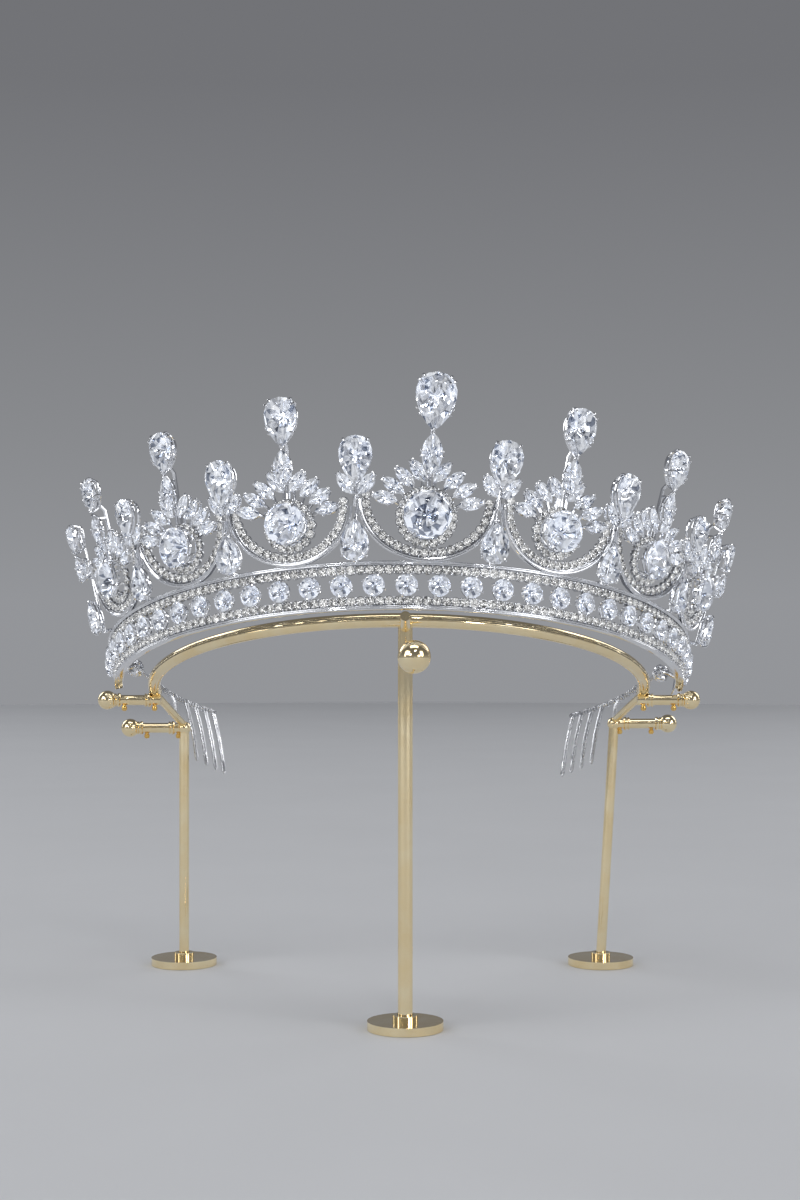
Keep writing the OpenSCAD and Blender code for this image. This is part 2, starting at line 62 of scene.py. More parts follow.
# Types that the hints name
Points = np.ndarray
Face = tuple[int, ...]
Colour = tuple[float, float, float]
Profile = Sequence[tuple[float, float]]
Place = Callable[[Points], Points]
Socket = str | int
# Sides of the crown, with their words in the pieces' names
SIDES = {-1: "left", 1: "right"}


class Shape(Enum):
    """Outline of a cut stone."""

    ROUND = "round"
    PEAR = "pear"
    LEAF = "leaf"


class Slot(Enum):
    """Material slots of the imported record."""

    SILVER = "silver"
    STONE = "stone"
    GOLD = "gold"


# Closed surfaces


@dataclass
class Shell:
    """Corners and faces of one closed surface.

    Attributes:
        points: corners, one row each.
        faces: corner numbers of each face.
        smooth: True if its faces are shaded as one curved surface.
        painted_tones: for each of its last faces, how many finishes after the piece's own it takes, which
            paints it bright, soft or dark.
    """

    points: Points
    faces: list[Face]
    smooth: bool = True
    painted_tones: list[int] = field(default_factory=list)

    def outward(self) -> "Shell":
        """Turns every face over if the surface encloses a negative volume.

        Returns:
            Itself.
        """
        triangles = np.array([(f[0], f[i], f[i + 1]) for f in self.faces for i in range(1, len(f) - 1)])
        a, b, c = np.moveaxis((self.points - self.points.mean(axis=0))[triangles], 1, 0)
        if (a * np.cross(b, c)).sum() < 0:
            self.faces = [tuple(reversed(f)) for f in self.faces]
        return self


def grid_shell(rows: Points, looped: bool = False) -> Shell:
    """Joins rows of corners into a closed surface.

    Args:
        rows: array of sections, corners in a section, and three coordinates. Sections are closed loops.
        looped: True if the last section joins the first, and otherwise both ends are capped.

    Returns:
        The closed surface.
    """
    count, sides = rows.shape[0], rows.shape[1]
    faces: list[Face] = []
    for i in range(count if looped else count - 1):
        a, b = i * sides, ((i + 1) % count) * sides
        for j in range(sides):
            k = (j + 1) % sides
            faces.append((a + j, a + k, b + k, b + j))
    if not looped:
        faces.append(tuple(range(sides - 1, -1, -1)))
        faces.append(tuple((count - 1) * sides + j for j in range(sides)))
    return Shell(rows.reshape(-1, 3), faces).outward()


def tube(
    path: Sequence[Sequence[float]],
    radius: float | Sequence[float],
    sides: int = 8,
    looped: bool = False,
    flat: float = 1.0,
) -> Shell:
    """Sweeps a round section along a path.

    Args:
        path: points of the centre line.
        radius: one radius, or one for each point.
        sides: corners of the section.
        looped: True if the path closes on itself.
        flat: the section's thickness outwards as a part of its width, for wires that lie in the local plane.

    Returns:
        The closed surface.
    """
    line = np.asarray(path, float)
    count = len(line)
    radii = np.full(count, radius, float) if np.isscalar(radius) else np.asarray(radius, float)
    if looped:
        along = np.roll(line, -1, axis=0) - np.roll(line, 1, axis=0)
    else:
        along = np.gradient(line, axis=0)
    along /= np.linalg.norm(along, axis=1)[:, None]
    side = np.zeros_like(line)
    start = np.array([0.0, 0.0, 1.0]) if abs(along[0][2]) < 0.9 else np.array([1.0, 0.0, 0.0])
    side[0] = start - along[0] * (start @ along[0])
    side[0] /= np.linalg.norm(side[0])
    for i in range(1, count):
        across = side[i - 1] - along[i] * (side[i - 1] @ along[i])
        side[i] = across / np.linalg.norm(across)
    other = np.cross(along, side)
    angles = 2 * math.pi * (np.arange(sides) + 0.5) / sides
    ring = (
        np.cos(angles)[None, :, None] * side[:, None, :] * flat
        + np.sin(angles)[None, :, None] * other[:, None, :]
    )
    return grid_shell(line[:, None, :] + ring * radii[:, None, None], looped)


def lathe(profile: Profile, sides: int, at: Sequence[float], ring: bool) -> Shell:
    """Turns a profile about the local outward axis.

    Args:
        profile: radius and height of each corner. Without ring, the first and last stand on the axis.
        sides: corners around.
        at: point that the axis passes through.
        ring: True if the profile is a closed loop that leaves the middle open.

    Returns:
        The closed surface.
    """
    angles = 2 * math.pi * np.arange(sides) / sides
    circle = np.stack([np.cos(angles), np.sin(angles)], axis=1)
    centre = np.asarray(at, float)
    if ring:
        rows = np.zeros((sides, len(profile), 3))
        for j, (r, z) in enumerate(profile):
            rows[:, j, :2] = circle * r
            rows[:, j, 2] = z
        return grid_shell(rows + centre, looped=True)
    inner = profile[1:-1]
    points = [[0.0, 0.0, profile[0][1]]]
    for r, z in inner:
        points += [[c[0] * r, c[1] * r, z] for c in circle]
    points.append([0.0, 0.0, profile[-1][1]])
    faces: list[Face] = []
    last = len(points) - 1
    for j in range(sides):
        k = (j + 1) % sides
        faces.append((0, 1 + k, 1 + j))
        for i in range(len(inner) - 1):
            a, b = 1 + i * sides, 1 + (i + 1) * sides
            faces.append((a + j, a + k, b + k, b + j))
        a = 1 + (len(inner) - 1) * sides
        faces.append((last, a + j, a + k))
    return Shell(np.array(points) + centre, faces).outward()


def ridge(
    middle: float, foot: float, half: float, rise: float, sweep: Sequence[float]
) -> list[tuple[float, float]]:
    """Rounded ridge of a rim's or a swag's section.

    Args:
        middle: place of its middle across the face.
        foot: height that it rises from.
        half: half of its width.
        rise: its height over the foot.
        sweep: angles of its points, degrees, where 90 is its top.

    Returns:
        Places across the face and heights.
    """
    return [(middle - half * math.cos(a), foot + rise * math.sin(a)) for a in np.radians(sweep)]


def bead(at: Sequence[float], radius: float, sides: int = 8) -> Shell:
    """Small rounded grain of metal.

    Args:
        at: its middle.
        radius: its radius.
        sides: corners around.

    Returns:
        The closed surface.
    """
    levels = np.radians([-90, -35, 10, 50, 90])
    return lathe([(radius * math.cos(a), radius * math.sin(a)) for a in levels], sides, at, ring=False)


# Cut stones

# Points of a fine outline, and of the one that claws are placed by
FINE_POINTS = 240
EDGE_POINTS = 360
# Pear outline: power of its point, power of its round end, and the factor that makes it one wide
PEAR_POINT, PEAR_END, PEAR_WIDE = 0.85, 0.48, 1.193
# Leaf outline: power of its bowed sides
LEAF_POWER = 2.6
# Facets at the back of a small stone, by painted tone that stands in for light and dark reflections: 1 is
# painted bright, 2 painted soft and 3 painted dark
SMALL_TONES = (1, 1, 2, 2, 3)
# Shares of painted dark facets, and of painted dark and soft ones together: near the point, and nearer the
# girdle
ROUND_SHARES = ((0.2, 0.62), (0.1, 0.4))
LONG_SHARES = ((0.12, 0.42), (0.08, 0.36))
# The same beside the middle of a wide pear or leaf, where the facets are painted dark as shade, and their
# places there
WING_SHARES = (0.65, 0.8)
WINGS = (5, 10)
# Width above which a pear or leaf counts as wide
WIDE_STONE = 6.0
# Width above which a round stone is a middle one, and how many times more painted dark facets that has
MIDDLE_STONE, MIDDLE_RATE = 10.0, 2.6
# Part of the facets, counted from the girdle, that aren't near the point
OUTER_PART = 0.6
# Whole numbers that make a seed from a stone's width, its place and its turn
SEED_MIX = (977, 131, 17, 1)


@lru_cache(maxsize=None)
def unit_outline(shape: Shape) -> tuple[tuple[float, float], ...]:
    """Fine outline of a stone one wide and one long.

    Args:
        shape: its kind.

    Returns:
        Points from the bottom, counter-clockwise.
    """
    steps = np.linspace(0.0, 2 * math.pi, FINE_POINTS, endpoint=False)
    if shape is Shape.ROUND:
        x, y = 0.5 * np.sin(steps), -0.5 * np.cos(steps)
    elif shape is Shape.PEAR:
        up = np.sin(steps / 2) ** 2
        x = PEAR_WIDE * up**PEAR_POINT * (1 - up) ** PEAR_END * np.sign(np.sin(steps))
        y = up - 0.5
    else:
        y = -0.5 * np.cos(steps)
        x = 0.5 * (1 - np.abs(2 * y) ** LEAF_POWER) * np.sign(np.sin(steps))
    return tuple(zip(x.tolist(), y.tolist()))


@dataclass(frozen=True)
class Cut:
    """Proportions of a brilliant cut, as parts of the stone's width.

    Attributes:
        table: size of the flat top.
        crown: height of the top over the girdle.
        pavilion: depth of the point under the girdle.
        girdle: thickness of the edge.
        star: where the star facets end, as a part of the way out.
        keel: where the lower girdle facets end, as a part of the way out.
        steps: rows of small facets under the girdle, or 0 for eight long ones.
        last: height of the row at the point, where the others are 1 high.
        bow: power of the rows' drop, where 1 is a straight cone.
        stray: how far a corner of the small facets stands out of true.
    """

    table: float = 0.57
    crown: float = 0.155
    pavilion: float = 0.43
    girdle: float = 0.025
    star: float = 0.78
    keel: float = 0.22
    steps: int = 0
    last: float = 0.75
    bow: float = 0.93
    stray: float = 0.035


PEAR_CUT = Cut(crown=0.15, pavilion=0.4, steps=4)
LEAF_CUT = Cut(crown=0.17, pavilion=0.4, table=0.5, steps=2)


@dataclass(frozen=True)
class Stone:
    """One cut stone in a local frame: x sideways, y up the face, z outwards.

    Attributes:
        shape: its outline.
        width: size across.
        length: size from its point to the other end.
        at: its middle in the local frame.
        girdle: height of its edge.
        spin: counter-clockwise turn, degrees.
        cut: its proportions.
    """

    shape: Shape
    width: float
    length: float
    at: tuple[float, float]
    girdle: float
    spin: float = 0.0
    cut: Cut = field(default_factory=Cut)

    def rim(self, count: int, scale: float = 1.0) -> Points:
        """Points evenly spaced along its outline.

        Args:
            count: how many.
            scale: size as a part of the stone's own.

        Returns:
            Array of x and y.
        """
        line = np.array(unit_outline(self.shape)) * [self.width * scale, self.length * scale]
        ends = np.vstack([line, line[:1]])
        far = np.concatenate([[0.0], np.cumsum(np.linalg.norm(np.diff(ends, axis=0), axis=1))])
        want = far[-1] * np.arange(count) / count
        even = np.stack([np.interp(want, far, ends[:, k]) for k in (0, 1)], axis=1)
        return self.turned(even)

    def turned(self, flat: Points) -> Points:
        """Turns points with the stone and moves them to its place.

        Args:
            flat: x and y about the stone's own middle.

        Returns:
            Array of x and y in the local frame.
        """
        a = math.radians(self.spin)
        turn = np.array([[math.cos(a), -math.sin(a)], [math.sin(a), math.cos(a)]])
        return flat @ turn.T + np.array(self.at)

    def culet(self) -> Points:
        """Place of its lowest point, under the widest part."""
        back = 0.1 * self.length if self.shape is Shape.PEAR else 0.0
        return self.turned(np.array([[0.0, back]]))[0]

    def share_at(self, x: float, y: float) -> float:
        """Finds the part of the way round that is nearest to a place.

        Args:
            x: place as a part of the width.
            y: place as a part of the length.

        Returns:
            Part of the way round from the bottom.
        """
        rim = replace(self, at=(0.0, 0.0), spin=0.0).rim(EDGE_POINTS)
        far = np.linalg.norm(rim - [x * self.width, y * self.length], axis=1)
        return int(far.argmin()) / EDGE_POINTS

    def edge(self, share: float) -> tuple[Points, Points]:
        """Point on the outline and the way out from it.

        Args:
            share: part of the way round from the bottom.

        Returns:
            The point, and a unit vector in the local plane.
        """
        rim = self.rim(EDGE_POINTS)
        i = int(round(share * EDGE_POINTS)) % EDGE_POINTS
        step = rim[(i + 4) % EDGE_POINTS] - rim[i - 4]
        out = np.array([step[1], -step[0]])
        return rim[i], out / np.linalg.norm(out)

    def shell(self) -> Shell:
        """Its facets: table, stars, kites, girdle facets and pavilion.

        Returns:
            The closed surface, with a finish of its own for each facet under the girdle, painted bright,
            soft or dark.
        """
        w, cut = self.width, self.cut
        rim, middle = self.rim(16), self.culet()
        mains, halves = rim[0::2], rim[1::2]
        high, low, thin = cut.crown * w, cut.pavilion * w, cut.girdle * w / 2
        lean = math.cos(math.pi / 8)
        star_z = thin + high * (1 - cut.star * lean) / (1 - cut.table)
        keel_z = -thin - low * (1 - cut.keel * lean)

        def level(flat: Points, part: float, z: float) -> Points:
            """Draws points towards the middle and sets them at a height.

            Args:
                flat: x and y of the points.
                part: what is left of their distance from the middle.
                z: height over the girdle's middle.

            Returns:
                The corners.
            """
            at = middle + (flat - middle) * part
            return np.column_stack([at, np.full(len(at), self.girdle + z)])

        points = np.vstack(
            [
                level(mains, cut.table, thin + high),
                level(halves, cut.star, star_z),
                level(rim, 1.0, thin),
                level(rim, 1.0, -thin),
                level(halves, cut.keel, keel_z),
                level(mains[:1], 0.0, -thin - low),
            ]
        )
        # Number of each level's first corner
        top, star, up, down, keel, point = 0, 8, 16, 32, 48, 56
        faces: list[Face] = [tuple(range(8))]
        under: list[Face] = []
        for i in range(8):
            nxt, prv = (i + 1) % 8, (i - 1) % 8
            g0, g1, g2 = 2 * i, 2 * i + 1, (2 * i + 2) % 16
            faces += [
                (top + i, star + i, top + nxt),
                (top + i, star + prv, up + g0, star + i),
                (star + i, up + g0, up + g1),
                (star + i, up + g1, up + g2),
                (up + g0, down + g0, down + g1, up + g1),
                (up + g1, down + g1, down + g2, up + g2),
            ]
            under += [
                (keel + i, down + g1, down + g0),
                (keel + i, down + g2, down + g1),
                (point, keel + i, down + g0, keel + prv),
            ]
        # Painted light and shade: each facet under the girdle takes a bright, soft or dark finish.
        if cut.steps:
            points, under, tones = self.fine_back(points[:keel], down, middle, self.girdle - thin, low)
        else:
            chance = self.chance()
            tones = [chance.choice(SMALL_TONES) for _ in under]
        return Shell(points, faces + under, smooth=False, painted_tones=tones).outward()

    def chance(self) -> random.Random:
        """Source of random numbers of its own, seeded by its size and place."""
        values = (self.width, *self.at, self.spin)
        return random.Random(round(sum(mix * value for mix, value in zip(SEED_MIX, values))))

    def fine_back(
        self, points: Points, down: int, middle: Points, z: float, low: float
    ) -> tuple[Points, list[Face], list[int]]:
        """Rows of small facets from the girdle to the point, each a little out of true.

        Args:
            points: corners of the stone's upper part.
            down: number of the girdle's first lower corner.
            middle: place of the point.
            z: height of the girdle's lower edge.
            low: depth of the point under that.

        Returns:
            All corners, the faces under the girdle and the painted tone of each.
        """
        cut, chance, sides = self.cut, self.chance(), 16
        fine = self.rim(2 * sides)
        rows = [points]
        under: list[Face] = []
        before, start = down, len(points)
        for k in range(1, cut.steps + 1):
            part = 1 - k / (cut.steps + cut.last)
            shift = k % 2
            flat = middle + (fine[shift::2] - middle) * part
            drop = low * (1 - part) ** cut.bow
            heights = [z - drop + self.width * chance.uniform(-cut.stray, cut.stray) for _ in range(sides)]
            rows.append(np.column_stack([flat, heights]))
            for i in range(sides):
                j = (i + 1) % sides
                if shift:
                    under += [(before + i, start + i, before + j), (before + j, start + i, start + j)]
                else:
                    under += [(before + i, start + i, start + j), (before + i, start + j, before + j)]
            before, start = start, start + sides
        rows.append(np.array([[*middle, z - low]]))
        under += [(before + i, start, before + (i + 1) % sides) for i in range(sides)]
        return np.vstack(rows), under, [self.tone(k, chance.random()) for k in range(len(under))]

    def tone(self, number: int, luck: float) -> int:
        """Painted tone of a facet under the girdle, for the light and dark reflections in a stone: 1 is
        painted bright, 2 painted soft and 3 painted dark.

        Args:
            number: its place, counted from the girdle inwards.
            luck: number from 0 to 1.

        Returns:
            The tone.
        """
        in_row = 32
        outer = number <= OUTER_PART * (in_row * self.cut.steps + in_row / 2)
        deep, soft = (ROUND_SHARES if self.shape is Shape.ROUND else LONG_SHARES)[outer]
        if self.shape is Shape.ROUND:
            deep *= MIDDLE_RATE if self.width > MIDDLE_STONE else 1.0
        elif self.width > WIDE_STONE and number // in_row in (1, 2) and number % in_row // 2 in WINGS:
            deep, soft = WING_SHARES
        return 3 if luck < deep else 2 if luck < soft else 1


# Settings of the stones

# Bend of a claw over the girdle: way in from the edge, rise, and thickness as a part of the claw's
CLAW_BEND = ((0.14, 0.44, 1.05), (0.42, 0.55, 0.85), (0.6, 0.56, 0.35))
# Corners of a wire round a stone that is wider than the last number, and round a smaller one
LARGE_RING, SMALL_RING, RING_WIDTH = 32, 20, 4.0


@dataclass(frozen=True)
class Wire:
    """Wirework that holds one stone.

    Attributes:
        stone: what it holds.
        base_z: height of its back ring.
        base: size of the back ring as a part of the outline.
        thick: radius of its wire.
        claw: radius of a claw.
    """

    stone: Stone
    base_z: float
    base: float = 0.82
    thick: float = 0.34
    claw: float = 0.3

    def ring(self, scale: float, z: float, thick: float, sides: int = 8, flat: float = 1.0) -> Shell:
        """Closed wire that follows the stone's outline.

        Args:
            scale: its size as a part of the outline.
            z: its height.
            thick: its radius.
            sides: corners of its section.
            flat: outward thickness as a part of the width.

        Returns:
            The wire.
        """
        count = LARGE_RING if self.stone.width > RING_WIDTH else SMALL_RING
        rim = self.stone.rim(count, scale)
        return tube(np.column_stack([rim, np.full(count, z)]), thick, sides, looped=True, flat=flat)

    def prong(self, share: float, reach: float = 1.0) -> Shell:
        """Claw from the back ring up the stone's side, bent over its edge.

        Args:
            share: place round the outline.
            reach: size of its bend.

        Returns:
            The claw.
        """
        edge, out = self.stone.edge(share)
        middle = np.array(self.stone.at)
        foot = middle + (edge - middle) * self.base
        g, r = self.stone.girdle, self.claw
        half_way = foot * 0.4 + (edge + out * r * 0.9) * 0.6
        path = [
            [*foot, self.base_z],
            [*half_way, self.base_z * 0.45 + (g - 0.5 * reach) * 0.55],
            [*(edge + out * r * 0.95), g - 0.3 * reach],
            [*(edge + out * r * 0.75), g + 0.12 * reach],
        ]
        path += [[*(edge - out * way_in * reach), g + rise * reach] for way_in, rise, _ in CLAW_BEND]
        return tube(path, [r, r, r, r * 1.05] + [r * thick for *_, thick in CLAW_BEND], sides=7)

    def basket(self, shares: Sequence[float], twin: float = 0.0, gallery: bool = True) -> list[Shell]:
        """Back ring, gallery wire and claws.

        Args:
            shares: places of the claws round the outline.
            twin: distance between the two claws of a pair, or 0 for single claws.
            gallery: True if a second wire runs under the girdle.

        Returns:
            The wires and claws.
        """
        shells = [self.ring(self.base, self.base_z, self.thick)]
        if gallery:
            drop = 0.3 * (self.stone.girdle - self.base_z) + 0.35
            shells.append(self.ring(0.9, self.stone.girdle - drop, self.thick * 0.75, sides=6))
        around = float(np.linalg.norm(np.diff(self.stone.rim(60), axis=0), axis=1).sum())
        steps = (-twin / 2 / around, twin / 2 / around) if twin else (0.0,)
        return shells + [self.prong(share + step) for share in shares for step in steps]


@dataclass(frozen=True)
class Grain:
    """One small stone of a row, in its own cup.

    Attributes:
        stone_d: width of the stone.
        cup_d: width of the cup.
        back: height of the cup's back.
        front: height of the cup's edge.
        bead_r: radius of the grains of metal that hold the stone.
    """

    stone_d: float = 2.0
    cup_d: float = 2.34
    back: float = -0.5
    front: float = 0.32
    bead_r: float = 0.27

    def cup(self, x: float, y: float) -> Shell:
        """Open cup with a tapered bore.

        Args:
            x: place of its middle.
            y: place of its middle.

        Returns:
            The closed surface.
        """
        r = self.cup_d / 2
        profile = [
            (r - 0.06, self.back),
            (r, self.back + 0.1),
            (r, self.front - 0.08),
            (r - 0.08, self.front),
            (self.stone_d / 2 - 0.04, self.front),
            (self.stone_d / 2 - 0.42, self.back),
        ]
        return lathe(profile, sides=14, at=(x, y, 0.0), ring=True)

    def stone(self, x: float, y: float, spin: float) -> Stone:
        """The stone of a cup at x and y."""
        size = self.stone_d
        return Stone(Shape.ROUND, size, size, (x, y), self.front + 0.06, spin, Cut(pavilion=0.4))

    def beads(self, x: float, y: float, across: tuple[float, float]) -> list[Shell]:
        """Two grains of metal on either side of a row, between two stones.

        Args:
            x: place between the stones.
            y: place between the stones.
            across: unit vector across the row.

        Returns:
            The grains.
        """
        x_step, y_step = (self.stone_d * 0.36 * part for part in across)
        z = self.front + 0.14
        return [bead((x + s * x_step, y + s * y_step, z), self.bead_r, sides=7) for s in (-1, 1)]


# Frames of the crown and the stand


@dataclass(frozen=True)
class Layout:
    """Frames of the crown and of its stand.

    Attributes:
        tilt: lean of the crown and the ring, front up, degrees.
        turn: turn of the crown on its ring, degrees.
        post_x: sideways place of the front post from the crown's middle.
        post_y: place of the front post, front to back.
        centre_h: height of the crown's centre.
        crown_r: radius of the lower rim's face.
        band_h: height of the band along its face.
        band_flare: lean of the band's face, degrees.
        crest_flare: lean of the crest, degrees.
        crest_lean: sideways lean of the crest's pieces, degrees.
    """

    tilt: float = 17.7
    turn: float = 4.2
    post_x: float = 1.5
    post_y: float = -61.4
    centre_h: float = 76.0
    crown_r: float = 74.6
    band_h: float = 11.3
    band_flare: float = 11.4
    crest_flare: float = 16.0
    crest_lean: float = 3.0

    def stand(self, p: Points) -> Points:
        """Stand's own millimetres to metres in the scene."""
        return (np.asarray(p, float) + [-self.post_x, -self.post_y, self.centre_h]) * MM

    def tilted(self, p: Points) -> Points:
        """Places points of the tilted ring's frame.

        Args:
            p: points in millimetres.

        Returns:
            The points in metres in the scene.
        """
        x, y, z = np.asarray(p, float).T
        c, s = math.cos(math.radians(self.tilt)), math.sin(math.radians(self.tilt))
        return self.stand(np.column_stack([x, y * c + z * s, z * c - y * s]))

    def crown(self, p: Points) -> Points:
        """Places points of the crown's frame.

        Args:
            p: points in millimetres.

        Returns:
            The points in metres in the scene.
        """
        x, y, z = np.asarray(p, float).T
        c, s = math.cos(math.radians(self.turn)), math.sin(math.radians(self.turn))
        return self.tilted(np.column_stack([x * c - y * s, x * s + y * c, z]))

    def face(self, p: Points, arc: float, r0: float, z0: float, flare: float, lean: float) -> Points:
        """Points of a local frame on a leaning face, in the crown's frame.

        Args:
            p: points, x sideways, y up the face and z outwards.
            arc: arc length from the crown's middle.
            r0: radius of the face's foot.
            z0: height of the face's foot.
            flare: outward lean, degrees.
            lean: sideways lean, degrees.

        Returns:
            The points in the crown's frame.
        """
        x, y, z = np.asarray(p, float).T
        c, s = math.cos(math.radians(lean)), math.sin(math.radians(lean))
        x, y = x * c + y * s, y * c - x * s
        c, s = math.cos(math.radians(flare)), math.sin(math.radians(flare))
        out, up = r0 + y * s + z * c, z0 + y * c - z * s
        c, s = math.cos(arc / self.crown_r), math.sin(arc / self.crown_r)
        return np.column_stack([out * s + x * c, x * s - out * c, up])

    def band_face(self, p: Points, arc: float) -> Points:
        """Points of a local frame on the band at an arc length, in the crown's frame."""
        return self.face(p, arc, self.crown_r, 0.0, self.band_flare, 0.0)

    def on_band(self, arc: float) -> Place:
        """Placement on the band at an arc length."""
        return lambda p: self.crown(self.band_face(p, arc))

    def on_crest(self, arc: float) -> Place:
        """Placement on the crest.

        Args:
            arc: arc length from the crown's middle.

        Returns:
            What takes local millimetres to metres in the scene.
        """
        flare = math.radians(self.band_flare)
        r0 = self.crown_r + self.band_h * math.sin(flare)
        z0 = self.band_h * math.cos(flare)
        return lambda p: self.crown(self.face(p, arc, r0, z0, self.crest_flare, self.crest_lean))


LAYOUT = Layout()


# Finishes


def node(tree: bpy.types.NodeTree, kind: str, **values: object) -> bpy.types.Node:
    """Adds a node and sets its properties and input values.

    Args:
        tree: the node tree.
        kind: the node's type.
        values: names of properties, or of inputs with underscores for spaces.

    Returns:
        The node.
    """
    made = tree.nodes.new(kind)
    for name, value in values.items():
        if hasattr(made, name):
            setattr(made, name, value)
        else:
            made.inputs[name.replace("_", " ")].default_value = value
    return made


def join(tree: bpy.types.NodeTree, *links: tuple[bpy.types.Node, Socket, bpy.types.Node, Socket]) -> None:
    """Joins outputs to inputs.

    Args:
        tree: the node tree.
        links: node, its output, the next node and that one's input, for each link.
    """
    for giver, output, taker, given in links:
        tree.links.new(giver.outputs[output], taker.inputs[given])


def blend(tree: bpy.types.NodeTree, first: Colour, second: Colour) -> bpy.types.Node:
    """Adds a mix of two colours.

    Args:
        tree: the node tree.
        first: colour where the factor is 0.
        second: colour where it is 1.

    Returns:
        The node.
    """
    made = node(tree, "ShaderNodeMix", data_type="RGBA")
    made.inputs["A"].default_value = (*first, 1.0)
    made.inputs["B"].default_value = (*second, 1.0)
    return made


def blank_material(name: str) -> bpy.types.Material:
    """Makes a material with an empty node tree.

    Args:
        name: of the material.

    Returns:
        The material.
    """
    made = bpy.data.materials.new(name)
    made.use_nodes = True
    made.node_tree.nodes.clear()
    return made


@lru_cache(maxsize=None)
def polish_group() -> bpy.types.NodeTree:
    """Shader group for polished metal, built once: soft clouding and hairlines.

    Returns:
        The group, with outputs Roughness, Tone and Height.
    """
    group = bpy.data.node_groups.new("hand_polish", "ShaderNodeTree")
    face = group.interface
    for label, value in (
        ("Cloud Scale", 300.0),
        ("Hair Scale", 4000.0),
        ("Stretch", 0.15),
        ("Bright", 0.1),
        ("Dull", 0.25),
    ):
        socket = face.new_socket(label, in_out="INPUT", socket_type="NodeSocketFloat")
        socket.default_value = value
    for label in ("Roughness", "Tone", "Height"):
        face.new_socket(label, in_out="OUTPUT", socket_type="NodeSocketFloat")
    given = node(group, "NodeGroupInput")
    out = node(group, "NodeGroupOutput")
    place = node(group, "ShaderNodeTexCoord")
    cloud = node(group, "ShaderNodeTexNoise", Detail=4.0, Roughness=0.6)
    hair_place = node(group, "ShaderNodeVectorMath", operation="MULTIPLY")
    stretch = node(group, "ShaderNodeCombineXYZ", X=1.0, Y=1.0)
    hair = node(group, "ShaderNodeTexNoise", Detail=2.0, Roughness=0.5)
    tone = node(group, "ShaderNodeMapRange", From_Min=0.3, From_Max=0.7)
    dullness = node(group, "ShaderNodeMix", data_type="FLOAT")
    mixed = node(group, "ShaderNodeMath", operation="MULTIPLY_ADD")
    mixed.inputs[1].default_value = 0.35
    join(
        group,
        (place, "Object", cloud, "Vector"),
        (given, "Cloud Scale", cloud, "Scale"),
        (given, "Stretch", stretch, "Z"),
        (place, "Object", hair_place, 0),
        (stretch, 0, hair_place, 1),
        (hair_place, 0, hair, "Vector"),
        (given, "Hair Scale", hair, "Scale"),
        (cloud, 0, tone, "Value"),
        (hair, 0, mixed, 0),
        (tone, 0, mixed, 2),
        (mixed, 0, dullness, "Factor"),
        (given, "Bright", dullness, "A"),
        (given, "Dull", dullness, "B"),
        (dullness, "Result", out, "Roughness"),
        (tone, 0, out, "Tone"),
        (hair, 0, out, "Height"),
    )
    return group


@dataclass(frozen=True)
class MetalFinish:
    """Polished plating.

    Attributes:
        name: of the material.
        light: colour of its clean parts.
        deep: colour of its clouded parts.
        bright: roughness of its clean parts.
        dull: roughness of its clouded parts.
        cloud: clouds to the metre.
        hair: hairlines to the metre.
        stretch: length of the hairlines upwards, where 1 is even.
        bump: strength of the hairlines.
        painted_glow: strength of its painted glow, emission that stands in for light thrown back and forth
            in a stone.
    """

    name: str
    light: Colour
    deep: Colour
    bright: float
    dull: float
    cloud: float = 300.0
    hair: float = 5000.0
    stretch: float = 1.0
    bump: float = 0.04
    painted_glow: float = 0.0

    @lru_cache(maxsize=None)
    def material(self) -> bpy.types.Material:
        """Builds the material once.

        Returns:
            The material.
        """
        made = blank_material(self.name)
        tree = made.node_tree
        polish = node(tree, "ShaderNodeGroup", node_tree=polish_group())
        for label, value in (
            ("Cloud Scale", self.cloud),
            ("Hair Scale", self.hair),
            ("Stretch", self.stretch),
            ("Bright", self.bright),
            ("Dull", self.dull),
        ):
            polish.inputs[label].default_value = value
        colour = blend(tree, self.light, self.deep)
        bump = node(tree, "ShaderNodeBump", Strength=self.bump, Distance=0.1 * MM)
        # Painted glow: emission that stands in for light thrown back and forth in a stone.
        surface = node(tree, "ShaderNodeBsdfPrincipled", Metallic=1.0, Emission_Strength=self.painted_glow)
        surface.inputs["Emission Color"].default_value = (*self.light, 1.0)
        join(
            tree,
            (polish, "Tone", colour, "Factor"),
            (colour, "Result", surface, "Base Color"),
            (polish, "Roughness", surface, "Roughness"),
            (polish, "Height", bump, "Height"),
            (bump, "Normal", surface, "Normal"),
            (surface, "BSDF", node(tree, "ShaderNodeOutputMaterial"), "Surface"),
        )
        return made


@dataclass(frozen=True)
class StoneFinish:
    """Clear cut stone.

    Attributes:
        name: of the material.
        clear: colour of most stones.
        cool: colour of the cooler stones.
        index: how strongly it bends light.
        roughness: of its facets.
    """

    name: str
    clear: Colour = (1.0, 1.0, 1.0)
    cool: Colour = (0.9, 0.94, 1.0)
    index: float = 1.75
    roughness: float = 0.0

    @lru_cache(maxsize=None)
    def material(self) -> bpy.types.Material:
        """Builds the material once.

        Returns:
            The material.
        """
        made = blank_material(self.name)
        tree = made.node_tree
        noise = node(tree, "ShaderNodeTexNoise", Scale=160.0, Detail=1.0)
        colour = blend(tree, self.clear, self.cool)
        surface = node(tree, "ShaderNodeBsdfPrincipled", Roughness=self.roughness, IOR=self.index)
        surface.inputs["Transmission Weight"].default_value = 1.0
        join(
            tree,
            (node(tree, "ShaderNodeTexCoord"), "Object", noise, "Vector"),
            (noise, 0, colour, "Factor"),
            (colour, "Result", surface, "Base Color"),
            (surface, "BSDF", node(tree, "ShaderNodeOutputMaterial"), "Surface"),
        )
        return made


def grey(red: float, blue: float | None = None) -> Colour:
    """Colour with equal red and green.

    Args:
        red: its red and its green.
        blue: its blue, where that differs.

    Returns:
        The colour.
    """
    return (red, red, red if blue is None else blue)


